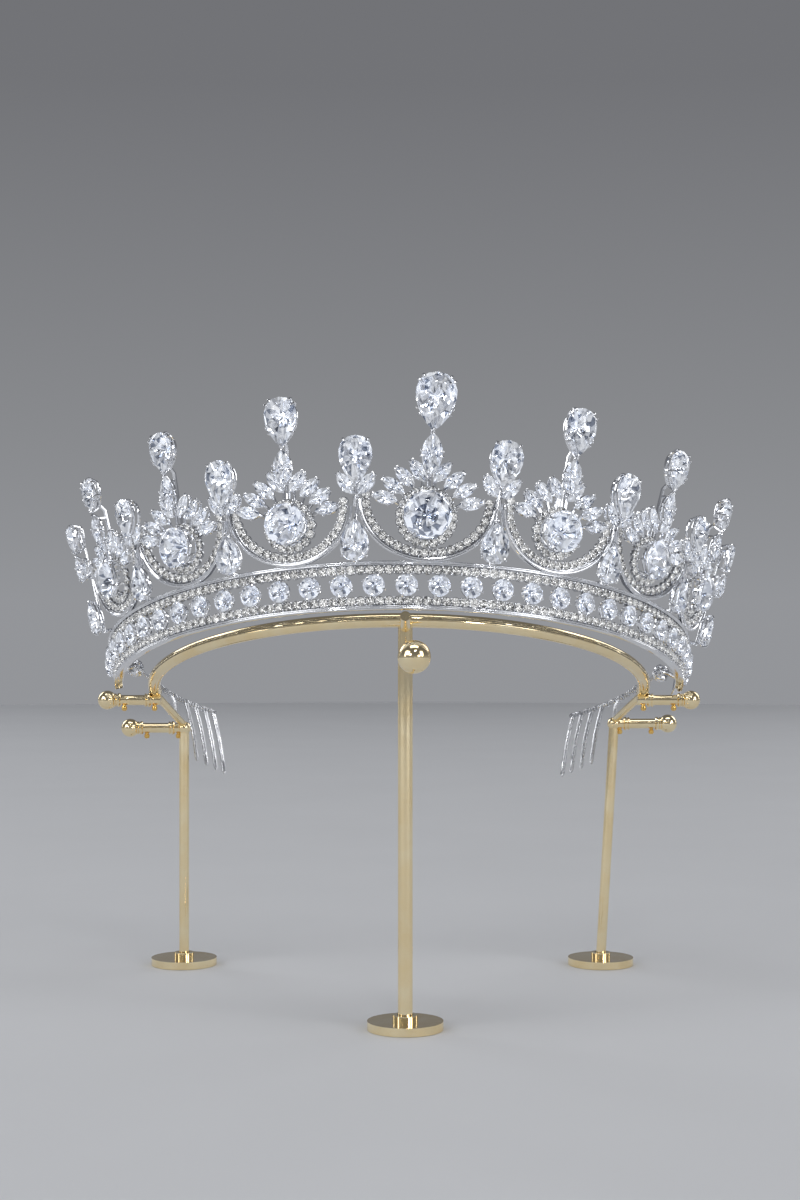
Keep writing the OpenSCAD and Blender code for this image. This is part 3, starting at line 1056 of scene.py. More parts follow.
RHODIUM = MetalFinish("rhodium_plate", (0.93, 0.94, 0.96), (0.84, 0.85, 0.88), 0.03, 0.12)
# Darker plating of the cups, the strip behind the rims and the swags' webs: painted shade in these recesses.
PAINTED_SHADE_METAL = MetalFinish("painted_shade_plate", (0.5, 0.51, 0.53), (0.34, 0.35, 0.37), 0.1, 0.25)
WIRE = MetalFinish("comb_wire", (0.78, 0.79, 0.81), (0.52, 0.53, 0.56), 0.16, 0.34, stretch=0.3, bump=0.08)
BRASS = MetalFinish(
    "polished_brass",
    (1.0, 0.865, 0.58),
    (0.96, 0.765, 0.44),
    0.04,
    0.14,
    cloud=160.0,
    stretch=0.04,
    bump=0.05,
)
SCREW = MetalFinish("screw_brass", (0.95, 0.66, 0.22), (0.82, 0.5, 0.14), 0.14, 0.3)
# Mirror metal of the facets under the girdle of the large stones, and of the small ones, in painted bright,
# painted soft and painted dark copies that stand in for the light and dark reflections in a stone
FACET = MetalFinish("facets", grey(1.0), grey(1.0), 0.0, 0.03, cloud=500.0, bump=0.0)
PAINTED_FACET_LIGHT = (
    replace(FACET, name="painted_bright_facets", light=(0.97, 0.98, 1.0), deep=(0.9, 0.93, 0.98), painted_glow=0.25),
    replace(FACET, name="painted_soft_facets", light=(0.88, 0.9, 0.95), deep=(0.8, 0.83, 0.9), painted_glow=0.125),
    replace(FACET, name="painted_dark_facets", light=(0.4, 0.44, 0.53), deep=(0.32, 0.36, 0.45), painted_glow=0.02),
)
ROW_FACET = replace(FACET, dull=0.04)
# Painted light and shade of the small stones' facets: bright, soft and dark copies of one finish.
PAINTED_ROW_FACET_LIGHT = (
    replace(ROW_FACET, name="painted_bright_row_facets", light=grey(0.95), deep=grey(0.89), painted_glow=0.28),
    replace(ROW_FACET, name="painted_soft_row_facets", light=grey(0.79, 0.785), deep=grey(0.69, 0.685), painted_glow=0.12),
    replace(ROW_FACET, name="painted_dark_row_facets", light=grey(0.37), deep=grey(0.27), painted_glow=0.01),
)
CLEAR = StoneFinish("clear_stone")
SMALL = StoneFinish("small_clear_stone", clear=(1.0, 1.0, 0.985), cool=(0.98, 0.975, 0.96))


# Pieces


class Piece:
    """Shells joined into one named mesh of the scene.

    Attributes:
        total: triangles of all pieces so far.
    """

    total: int = 0

    def __init__(self, name: str, slot: Slot, finishes: Sequence[MetalFinish | StoneFinish]) -> None:
        """Starts an empty piece.

        Args:
            name: of the piece.
            slot: the record's slot; not used.
            finishes: its finishes, in the order that add() numbers them.
        """
        self.name = name
        self.slot = slot
        self.finishes = finishes
        self.points: list[Points] = []
        self.faces: list[Face] = []
        self.smooth: list[bool] = []
        self.index: list[int] = []
        self.count = 0

    def add(self, shells: Shell | Sequence[Shell], place: Place, finish: int = 0) -> None:
        """Puts shells in place.

        Args:
            shells: one or more closed surfaces in a local frame.
            place: takes local millimetres to metres in the scene.
            finish: number of the finish.
        """
        for shell in [shells] if isinstance(shells, Shell) else shells:
            self.points.append(place(shell.points))
            self.faces += [tuple(self.count + i for i in f) for f in shell.faces]
            self.smooth += [shell.smooth] * len(shell.faces)
            self.index += [finish] * (len(shell.faces) - len(shell.painted_tones))
            self.index += [finish + tone for tone in shell.painted_tones]
            self.count += len(shell.points)

    def make(self, replaces: Sequence[str] = (), crease: float = 38.0) -> bpy.types.Object:
        """Makes the mesh, gives it its finishes and sets it on its body.

        Args:
            replaces: CAD nodes that it stands for.
            crease: angle in degrees above which an edge stays sharp.

        Returns:
            The object.
        """
        mesh = bpy.data.meshes.new(self.name)
        mesh.from_pydata(np.vstack(self.points).tolist(), [], self.faces)
        mesh.polygons.foreach_set("use_smooth", self.smooth)
        mesh.polygons.foreach_set("material_index", self.index)
        for finish in self.finishes:
            mesh.materials.append(finish.material())
        mesh.set_sharp_from_angle(angle=math.radians(crease))
        mesh.update()
        made = bpy.data.objects.new(self.name, mesh)
        bpy.context.scene.collection.objects.link(made)
        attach(made, "root")
        if replaces:
            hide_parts(*replaces)
        triangles = sum(len(f) - 2 for f in self.faces)
        Piece.total += triangles
        LOG.info("%s: %d triangles", self.name, triangles)
        return made


def cut_piece(name: str, stones: Sequence[Stone], place: Place) -> None:
    """Makes a piece of large stones that stands for one CAD node.

    Args:
        name: of the node.
        stones: the stones in their local frame.
        place: their placement.
    """
    piece = Piece(f"cut_{name}", Slot.STONE, [CLEAR, *PAINTED_FACET_LIGHT])
    piece.add([stone.shell() for stone in stones], place)
    piece.make([name])


@dataclass(frozen=True)
class Band:
    """The crown's band: two rims with rows of small stones, and large stones between them.

    Attributes:
        half: arc length from the middle to a rear end.
        rim_h: height of a rim along the face.
        rim_back: height of the rims' back.
        row_y: slant place of the lower row of small stones.
        row_pitch: spacing of the small stones.
        stones_half: large stones on each half.
        pitch: spacing of the large stones.
        stone_d: width of a large stone.
        stone_z: height of its girdle.
        middle: slant place of the large stones.
        seat_z: height of the back ring of a large stone's collet.
        grain: small stone of the rows and its cup.
    """

    half: float = 118.4
    rim_h: float = 0.9
    rim_back: float = -2.0
    row_y: float = 2.02
    row_pitch: float = 2.2
    stones_half: int = 16
    pitch: float = 7.4
    stone_d: float = 5.15
    stone_z: float = 0.95
    middle: float = 5.55
    seat_z: float = -0.95
    grain: Grain = Grain(back=-1.4, front=-0.2)

    def sweep(self, profile: Profile, steps: int = 150) -> Shell:
        """Carries a closed profile round the band.

        Args:
            profile: slant places and heights.
            steps: sections round the band.

        Returns:
            The closed surface in the crown's frame.
        """
        flat = [[0.0, y, z] for y, z in profile]
        arcs = np.linspace(-self.half, self.half, steps + 1)
        return grid_shell(np.array([LAYOUT.band_face(flat, arc) for arc in arcs]))

    def rim_profile(self) -> list[tuple[float, float]]:
        """Section of a rim.

        Returns:
            Outline of a thick and a thin ridge in front and a rounded back, with the rim's outer edge at 0.
        """
        h, back = self.rim_h, self.rim_back
        thick = ridge(0.26, 0.06, 0.26, 0.26, [0, 35, 70, 105, 140])
        thin = ridge(0.68, 0.0, 0.22, 0.2, [45, 80, 115, 150])
        return thick + thin + [(h, -0.2), (h, back + 0.25), (h - 0.2, back), (0.2, back), (0.0, back + 0.25)]

    def build_metal(self, piece: Piece) -> None:
        """Adds rims, rows of cups, collets and end posts.

        Args:
            piece: what they join.
        """
        top = LAYOUT.band_h
        inside, edge = self.rim_h - 0.1, 1.3
        strip = [(inside, -1.4), (edge, -1.4), (edge, -0.5), (inside, -0.42)]
        # The strip behind the rims, and the cups below, take finish 1: darker plating as painted shade.
        for finish, profile in enumerate((self.rim_profile(), strip)):
            piece.add(self.sweep(profile), LAYOUT.crown, finish)
            piece.add(self.sweep([(top - y, z) for y, z in profile]), LAYOUT.crown, finish)
        for arc in self.row_places():
            place = LAYOUT.on_band(arc)
            between = LAYOUT.on_band(arc + self.row_pitch / 2)
            for y in (self.row_y, top - self.row_y):
                piece.add(self.grain.cup(0.0, y), place, 1)
                piece.add(self.grain.beads(0.0, y, (0.0, 1.0)), between)
        for arc in self.stone_places():
            self.collet(piece, LAYOUT.on_band(arc))
        for s in (-1, 1):
            post = tube([[0, 0.5, -0.9], [0, top - 0.5, -0.9]], radius=0.5)
            piece.add(post, LAYOUT.on_band(s * (self.half - 0.45)))

    def row_places(self) -> list[float]:
        """Arc lengths of the small stones."""
        count = int(2 * (self.half - 1.4) / self.row_pitch)
        return [(i - (count - 1) / 2) * self.row_pitch for i in range(count)]

    def stone_places(self) -> list[float]:
        """Arc lengths of the large stones."""
        return [(i + 0.5) * self.pitch for i in range(-self.stones_half, self.stones_half)]

    def stone(self) -> Stone:
        """A large stone in its local frame."""
        d, cut = self.stone_d, Cut(pavilion=0.41, steps=2)
        return Stone(Shape.ROUND, d, d, (0.0, self.middle), self.stone_z, spin=22.5, cut=cut)

    def collet(self, piece: Piece, place: Place) -> None:
        """Adds a large stone's open collet, with four claws and the posts that join it to the rows.

        Args:
            piece: what it joins.
            place: the stone's placement.
        """
        z = self.seat_z
        wire = Wire(self.stone(), base_z=z, base=0.66, claw=0.27)
        piece.add(wire.ring(wire.base, z, thick=0.32, sides=6), place)
        piece.add(wire.ring(0.86, -0.1, thick=0.26, sides=6), place)
        for k in range(4):
            piece.add(wire.prong(0.125 + k / 4, reach=0.8), place)
        for s in (-1, 1):
            ends = [[0, self.middle + s * far, z] for far in (1.5, 2.75)]
            piece.add(tube(ends, radius=0.42, sides=6), place)

    def build(self) -> None:
        """Makes the band's pieces."""
        metal = Piece("band_metal", Slot.SILVER, [RHODIUM, PAINTED_SHADE_METAL])
        self.build_metal(metal)
        metal.make(["crown_frame"])
        small = Piece("band_row_stones", Slot.STONE, [SMALL, *PAINTED_ROW_FACET_LIGHT])
        for i, arc in enumerate(self.row_places()):
            for k, y in enumerate((self.row_y, LAYOUT.band_h - self.row_y)):
                small.add(self.grain.stone(0.0, y, 17.0 * i + 9 * k).shell(), LAYOUT.on_band(arc))
        small.make()
        large = Piece("band_cut_stones", Slot.STONE, [CLEAR, *PAINTED_FACET_LIGHT])
        for arc in self.stone_places():
            large.add(self.stone().shell(), LAYOUT.on_band(arc))
        large.make(["band_stones"])


# Marquises of a fan: sideways place and height over the halo's middle, and turn from upright, degrees
FAN_PLACES = ((2.75, 10.45, 38.0), (5.75, 8.8, 49.0), (8.3, 6.6, 60.0), (10.05, 3.7, 79.0))
# Width and length of a fan's marquise in the middle motif
FAN_SIZE = (2.95, 6.25)


@dataclass(frozen=True)
class Motif:
    """Fan over a swag, with a round stone in a halo and a tall pear on a stem.

    Attributes:
        place: arc length of its middle.
        halo_y: height of the halo's middle over the band.
        round_d: width of the round stone.
        halo_d: width of the halo.
        fan: size of the fan as a part of the middle one's.
        top: height, length and width of the marquise over the fan.
        pear: height, length and width of the tall pear.
        swag_w: width of the swag.
    """

    place: float
    halo_y: float
    round_d: float
    halo_d: float
    fan: float
    top: tuple[float, float, float]
    pear: tuple[float, float, float]
    swag_w: float

    def round_stone(self) -> Stone:
        """The round stone."""
        d = self.round_d
        return Stone(Shape.ROUND, d, d, (0.0, self.halo_y + 0.4), girdle=3.7, spin=15.0, cut=Cut(steps=4))

    def tall_pear(self) -> Stone:
        """The tall pear."""
        y, length, width = self.pear
        return Stone(Shape.PEAR, width, length, (0.0, y), girdle=3.6, cut=PEAR_CUT)

    def top_marquise(self) -> Stone:
        """The marquise over the fan."""
        y, length, width = self.top
        return Stone(Shape.LEAF, width, length, (0.0, y), girdle=3.5, cut=replace(LEAF_CUT, steps=3))

    def fan_stones(self) -> list[Stone]:
        """The eight marquises of the fan, from its middle outwards.

        Returns:
            The stones, left before right.
        """
        k, girdle = self.fan, 1.55
        width, length = (k * size for size in FAN_SIZE)
        return [
            Stone(Shape.LEAF, width, length, (s * x * k, self.halo_y + y * k), girdle, -s * angle, LEAF_CUT)
            for x, y, angle in FAN_PLACES
            for s in (-1, 1)
        ]


@dataclass(frozen=True)
class Cusp:
    """Group where two swags meet: upright pear between two leaves over a drop.

    Attributes:
        place: arc length of its middle.
        upright: height, length and width of the upright pear.
        drop: height, length and width of the drop.
        leaf: size of the leaves as a part of the front ones.
        z: height of its back plate.
        last: True for the group at a rear end.
    """

    place: float
    upright: tuple[float, float, float]
    drop: tuple[float, float, float]
    leaf: float
    z: float
    last: bool = False

    def upright_pear(self) -> Stone:
        """The upright pear."""
        y, length, width = self.upright
        return Stone(Shape.PEAR, width, length, (0.0, y), self.z + 3.3, cut=PEAR_CUT)

    def drop_pear(self) -> Stone:
        """The drop, point up.

        Returns:
            The stone.
        """
        y, length, width = self.drop
        cut = replace(PEAR_CUT, pavilion=0.36)
        return Stone(Shape.PEAR, width, length, (0.0, y), self.z + 2.5, spin=180.0, cut=cut)

    def leaf_stones(self, cusp_h: float) -> list[Stone]:
        """The two leaves, and at a rear end the marquise between them.

        Args:
            cusp_h: height of the swags' ends over the band.

        Returns:
            The stones, left before right and the marquise last.
        """
        pear_y, pear_length, _ = self.upright
        y = cusp_h + 2.4 if self.last else pear_y - 0.41 * pear_length - 0.7
        k, cut = self.leaf, replace(LEAF_CUT, pavilion=0.38)
        width, length, x = (k * size for size in (*FAN_SIZE, 2.45))
        girdle, turn = self.z + 1.95, 37.0
        stones = [Stone(Shape.LEAF, width, length, (s * x, y), girdle, -s * turn, cut) for s in (-1, 1)]
        if self.last:
            stones.append(Stone(Shape.LEAF, 3.2, 6.2, (0.0, 17.2), self.z + 3.2, cut=cut))
        return stones


# Motifs from the middle outwards, with the fields of Motif in order
MOTIFS = (
    Motif(0.0, 10.15, 11.2, 14.6, 1.0, (24.5, 9.8, 4.8), (36.6, 13.8, 9.7), 32.3),
    Motif(30.2, 9.3, 9.8, 13.0, 0.98, (22.7, 8.8, 4.4), (33.4, 11.7, 8.1), 30.7),
    Motif(58.6, 8.9, 9.6, 12.6, 0.97, (22.4, 8.2, 4.1), (32.3, 9.8, 7.3), 29.9),
    Motif(87.0, 9.0, 9.2, 12.2, 0.93, (22.2, 7.6, 3.8), (31.3, 8.2, 6.1), 29.8),
)
# Groups between and after the motifs, with the fields of Cusp in order
CUSPS = (
    Cusp(15.1, (23.2, 11.4, 7.9), (4.9, 9.8, 6.9), 1.0, 0.8),
    Cusp(44.4, (21.4, 11.0, 7.4), (4.6, 9.4, 6.5), 0.94, 0.8),
    Cusp(72.8, (20.4, 9.6, 6.6), (4.2, 8.8, 6.1), 0.88, 0.8),
    Cusp(101.3, (25.3, 7.2, 5.4), (4.0, 8.4, 5.8), 0.82, 1.7, last=True),
)


def motif_row() -> list[tuple[str, Motif, Place]]:
    """The seven motifs from left to right.

    Returns:
        For each motif its word in the pieces' names, its sizes and its placement.
    """
    row = []
    for i in range(1 - len(MOTIFS), len(MOTIFS)):
        motif, side = MOTIFS[abs(i)], -1 if i < 0 else 1
        word = f"{SIDES[side]}_{abs(i)}" if i else "centre"
        row.append((word, motif, LAYOUT.on_crest(side * motif.place)))
    return row


@dataclass(frozen=True)
class Crest:
    """Everything over the band: swags, halos, fans, stems and the baskets of the large stones.

    Attributes:
        cusp_h: height of the swags' ends over the band.
        swag_out: how far a swag's wire stands outside its ellipse.
        swag_rim: width of the swag's wire.
        row: distance of the row of small stones inside the ellipse.
        row_pitch: spacing of the small stones.
        row_up: how far the row runs up past the swag's ends.
        halo_pitch: spacing of a halo's small stones.
        back: height of the crest's back, where loops, necks and stems lie.
        grain: small stone of the swags and the halos, and its cup.
    """

    cusp_h: float = 13.9
    swag_out: float = -0.25
    swag_rim: float = 0.95
    row: float = 1.82
    row_pitch: float = 2.08
    row_up: float = 0.4
    halo_pitch: float = 2.1
    back: float = -0.1
    grain: Grain = Grain(stone_d=1.9, cup_d=2.2)

    def swag_point(self, motif: Motif, w: float, t: float) -> tuple[float, float]:
        """Point of a swag at a distance inside its ellipse and an angle in degrees."""
        a, b = motif.swag_w / 2, self.cusp_h
        return -(a - w) * math.cos(math.radians(t)), b - (b - w) * math.sin(math.radians(t))

    def swag_sweep(self, motif: Motif, profile: Profile, steps: int = 44) -> Shell:
        """Carries a closed profile along a swag.

        Args:
            motif: the swag's motif.
            profile: distances inside the swag's ellipse and heights.
            steps: sections along the swag.

        Returns:
            The closed surface.
        """
        rows = []
        for i in range(steps + 1):
            angle = 3.5 + 173 * i / steps
            rows.append([[*self.swag_point(motif, w, angle), z] for w, z in profile])
        return grid_shell(np.array(rows))

    def swag_row(self, motif: Motif) -> list[tuple[Points, Points, Points]]:
        """Places of the small stones of a swag.

        Args:
            motif: the swag's motif.

        Returns:
            For each stone its place, the place between it and the next, and the way across the row there.
        """
        ends = [(s * (motif.swag_w / 2 - self.row), self.cusp_h + self.row_up) for s in (-1, 1)]
        curve = [self.swag_point(motif, self.row, t) for t in np.linspace(0, 180, 400)]
        fine = np.array([ends[0], *curve, ends[1]])
        far = np.concatenate([[0.0], np.cumsum(np.linalg.norm(np.diff(fine, axis=0), axis=1))])
        length = far[-1]
        count = int(round(length / self.row_pitch)) + 1
        step = length / (count - 1)

        def at(distance: float) -> Points:
            """Point of the row's line.

            Args:
                distance: way along the line.

            Returns:
                Its x and y.
            """
            return np.array([np.interp(distance, far, fine[:, k]) for k in (0, 1)])

        found = []
        for i in range(count):
            mid = min((i + 0.5) * step, length)
            along = at(min(mid + 0.1, length)) - at(mid - 0.1)
            across = np.array([-along[1], along[0]]) / np.linalg.norm(along)
            found.append((at(i * step), at(mid), across))
        return found

    def swag(self, metal: Piece, stones: Piece, motif: Motif, place: Place) -> None:
        """Adds a swag: ridged wire outside and a row of small stones inside it.

        Args:
            metal: piece that the wire and the cups join.
            stones: piece that the small stones join.
            motif: the swag's motif.
            place: its placement.
        """
        out, inside = self.swag_out, self.swag_out + self.swag_rim
        thick = ridge(out + 0.28, 0.8, 0.28, 0.25, [0, 40, 80, 120])
        thin = ridge(out + 0.73, 0.68, 0.22, 0.2, [45, 90, 135])
        back = [(inside, 0.5), (inside, -0.5), (inside - 0.2, -0.65), (out + 0.2, -0.65), (out, -0.5)]
        metal.add(self.swag_sweep(motif, thick + thin + back), place)
        # The web and the cups take finish 1: darker plating as painted shade.
        web = [(inside - 0.1, -0.5), (1.2, -0.5), (1.2, 0.15), (inside - 0.1, 0.25)]
        metal.add(self.swag_sweep(motif, web), place, 1)
        row = self.swag_row(motif)
        for i, (at, between, across) in enumerate(row):
            metal.add(self.grain.cup(*at), place, 1)
            stones.add(self.grain.stone(*at, 13.0 * i).shell(), place)
            if i < len(row) - 1:
                metal.add(self.grain.beads(*between, tuple(across)), place)

    def halo(self, metal: Piece, stones: Piece, motif: Motif, place: Place) -> None:
        """Adds a halo: ring of small stones round the seat of the round stone.

        Args:
            metal: piece that the ring and the cups join.
            stones: piece that the small stones join.
            motif: the halo's motif.
            place: its placement.
        """
        radius = motif.halo_d / 2 - 1.05
        inner, outer = motif.round_d / 2 * 0.8, radius - 0.7
        plate = [(inner, -0.5), (inner, 0.05), (outer, 0.15), (outer, -0.5)]
        metal.add(lathe(plate, sides=40, at=(0.0, motif.halo_y, 0.0), ring=True), place)
        count = int(round(2 * math.pi * radius / self.halo_pitch))
        for i in range(count):
            turns = np.array([2 * math.pi * k / count for k in (i, i + 0.5)])
            out = np.column_stack([np.sin(turns), -np.cos(turns)])
            at, between = out * radius + [0.0, motif.halo_y]
            # Cups take finish 1: darker plating as painted shade.
            metal.add(self.grain.cup(*at), place, 1)
            stones.add(self.grain.stone(*at, 21.0 * i).shell(), place)
            metal.add(self.grain.beads(*between, tuple(out[1])), place)

    def fan_seat(self, metal: Piece, stone: Stone, back: float, root: Sequence[float], place: Place) -> None:
        """Adds a marquise's seat: wire loop, neck to its root, two claws at the outer tip and two inside.

        Args:
            metal: piece that it joins.
            stone: the marquise.
            back: height of the loop.
            root: where its neck ends.
            place: the motif's placement.
        """
        wire = Wire(stone, base_z=back, base=0.8, claw=0.23)
        metal.add(wire.ring(0.78, back, thick=0.34, sides=6, flat=1.1), place)
        for share in (0.47, 0.53, 0.17, 0.83):
            metal.add(wire.prong(share, reach=0.62), place)
        tip, _ = stone.edge(0.0)
        inside = tip + (np.array(stone.at) - tip) * 0.25
        metal.add(tube([[*inside, back], [*root, back]], radius=0.42, sides=6), place)

    def raised(self, metal: Piece, stone: Stone, low: float, base_z: float, place: Place) -> None:
        """Adds a raised marquise's seat: a wire, claws at its sides and tips, and two posts to the stem.

        Args:
            metal: piece that it joins.
            stone: the marquise.
            low: height of the stem.
            base_z: height of the wire.
            place: the motif's placement.
        """
        wire = Wire(stone, base_z, base=0.8, thick=0.3, claw=0.27)
        metal.add(wire.basket([0.25, 0.75], twin=1.1, gallery=False), place)
        for share in (0.0, 0.5):
            metal.add(wire.prong(share, reach=0.7), place)
        for s in (-1, 1):
            y = stone.at[1] + s * stone.length * 0.38
            metal.add(tube([[0, y, low], [0, y, base_z]], radius=0.36, sides=6), place)

    def round_seat(self, metal: Piece, stone: Stone, place: Place) -> None:
        """Adds the round stone's seat: two wires, four claws and four posts.

        Args:
            metal: piece that it joins.
            stone: the round stone.
            place: the motif's placement.
        """
        high, middle = 2.35, np.array(stone.at)
        seat = Wire(stone, base_z=self.back, base=0.88, thick=0.4, claw=0.34)
        metal.add(seat.basket([0.125, 0.375, 0.625, 0.875], gallery=False), place)
        metal.add(seat.ring(0.92, high, thick=0.3, sides=6), place)
        for k in range(4):
            edge, _ = stone.edge(k / 4)
            foot = middle + (edge - middle) * 0.9
            metal.add(tube([[*foot, self.back], [*foot, high]], radius=0.3, sides=6), place)

    def motif(self, metal: Piece, stones: Piece, motif: Motif, place: Place) -> None:
        """Adds a motif's metal and small stones.

        Args:
            metal: piece that the metal joins.
            stones: piece that the small stones join.
            motif: the motif.
            place: its placement.
        """
        self.swag(metal, stones, motif, place)
        self.halo(metal, stones, motif, place)
        self.round_seat(metal, motif.round_stone(), place)
        centre = np.array([0.0, motif.halo_y])
        for stone in motif.fan_stones():
            away = np.array(stone.at) - centre
            root = centre + away / np.linalg.norm(away) * (motif.halo_d / 2 - 1.2)
            self.fan_seat(metal, stone, self.back + 0.05, root, place)
        pear_y, pear_length, _ = motif.pear
        foot_y, z = motif.halo_y + motif.halo_d / 2 - 0.6, self.back
        head_y = pear_y - pear_length * 0.38
        stem = [[0, foot_y, z], [0, (foot_y + head_y) / 2, z], [0, head_y - 1.2, 0], [0, head_y, 0.9]]
        metal.add(tube(stem, [0.55, 0.5, 0.5, 0.45]), place)
        self.raised(metal, motif.top_marquise(), z, 2.1, place)
        pear = motif.tall_pear()
        basket = Wire(pear, base_z=1.3, base=0.8, thick=0.38, claw=0.31)
        low, high = pear.share_at(0.36, -0.16), pear.share_at(0.4, 0.4)
        metal.add(basket.basket([low, high, 1 - high, 1 - low], twin=1.3), place)
        metal.add(basket.prong(0.0), place)

    def cusp(self, metal: Piece, cusp: Cusp, place: Place) -> None:
        """Adds a cusp group's metal.

        Args:
            metal: piece that it joins.
            cusp: the group.
            place: its placement.
        """
        z, seat_z, top = cusp.z + 0.35, cusp.z + 0.5, self.cusp_h
        pear_y, pear_length, _ = cusp.upright
        post = [[0, -0.4, z], [0, top, z], [0, pear_y - pear_length * 0.4, z]]
        metal.add(tube(post, [0.5, 0.33, 0.33], sides=12), place)
        metal.add(tube([[0, -0.2, -1.2], [0, -0.1, 0.0], [0, 0.1, z + 0.1]], radius=0.45), place)
        for s in (-1, 1):
            joint = [[s * 0.62, top - 1.1, 0.7], [s * 0.5, top + 0.1, 0.85 + 0.3 * cusp.z]]
            metal.add(tube([*joint, [s * 0.34, top + 1.3, cusp.z + 0.7]], [0.36, 0.36, 0.32]), place)
        stones = cusp.leaf_stones(self.cusp_h)
        for stone in stones[:2]:
            root = (0.0, stone.at[1] - 1.9 * cusp.leaf)
            self.fan_seat(metal, stone, cusp.z + 0.4, root, place)
        if cusp.last:
            self.raised(metal, stones[2], z, cusp.z + 1.9, place)
        pear = cusp.upright_pear()
        basket = Wire(pear, seat_z, base=0.8, thick=0.36, claw=0.31)
        high = pear.share_at(0.38, 0.42)
        metal.add(basket.basket([high, 1 - high]), place)
        metal.add(basket.prong(0.0), place)
        drop = cusp.drop_pear()
        holder = Wire(drop, seat_z, base=0.76, thick=0.34, claw=0.28)
        low = drop.share_at(0.4, 0.38)
        metal.add(holder.basket([low, 1 - low, 0.5]), place)
        metal.add(holder.prong(0.0, reach=0.8), place)

    def build(self) -> None:
        """Makes the crest's pieces."""
        for word, motif, place in motif_row():
            metal = Piece(f"motif_metal_{word}", Slot.SILVER, [RHODIUM, PAINTED_SHADE_METAL])
            small = Piece(f"motif_small_stones_{word}", Slot.STONE, [SMALL, *PAINTED_ROW_FACET_LIGHT])
            self.motif(metal, small, motif, place)
            metal.make(["crown_frame"])
            small.make()
            cut_piece(f"round_{word}", [motif.round_stone()], place)
            cut_piece(f"tall_pear_{word}", [motif.tall_pear()], place)
            cut_piece(f"top_marquise_{word}", [motif.top_marquise()], place)
        for side, name in SIDES.items():
            metal = Piece(f"cusp_metal_{name}", Slot.SILVER, [RHODIUM])
            for i, cusp in enumerate(CUSPS, start=1):
                place = LAYOUT.on_crest(side * cusp.place)
                self.cusp(metal, cusp, place)
                cut_piece(f"upright_pear_{name}_{i}", [cusp.upright_pear()], place)
                cut_piece(f"drop_pear_{name}_{i}", [cusp.drop_pear()], place)
            metal.make(["crown_frame"])
        fans = Piece("cut_fan_marquises", Slot.STONE, [CLEAR, *PAINTED_FACET_LIGHT])
        for _, motif, place in motif_row():
            fans.add([stone.shell() for stone in motif.fan_stones()], place)
        for side in SIDES:
            for cusp in CUSPS:
                leaves = [stone.shell() for stone in cusp.leaf_stones(self.cusp_h)]
                fans.add(leaves, LAYOUT.on_crest(side * cusp.place))
        fans.make(["fan_marquises"])


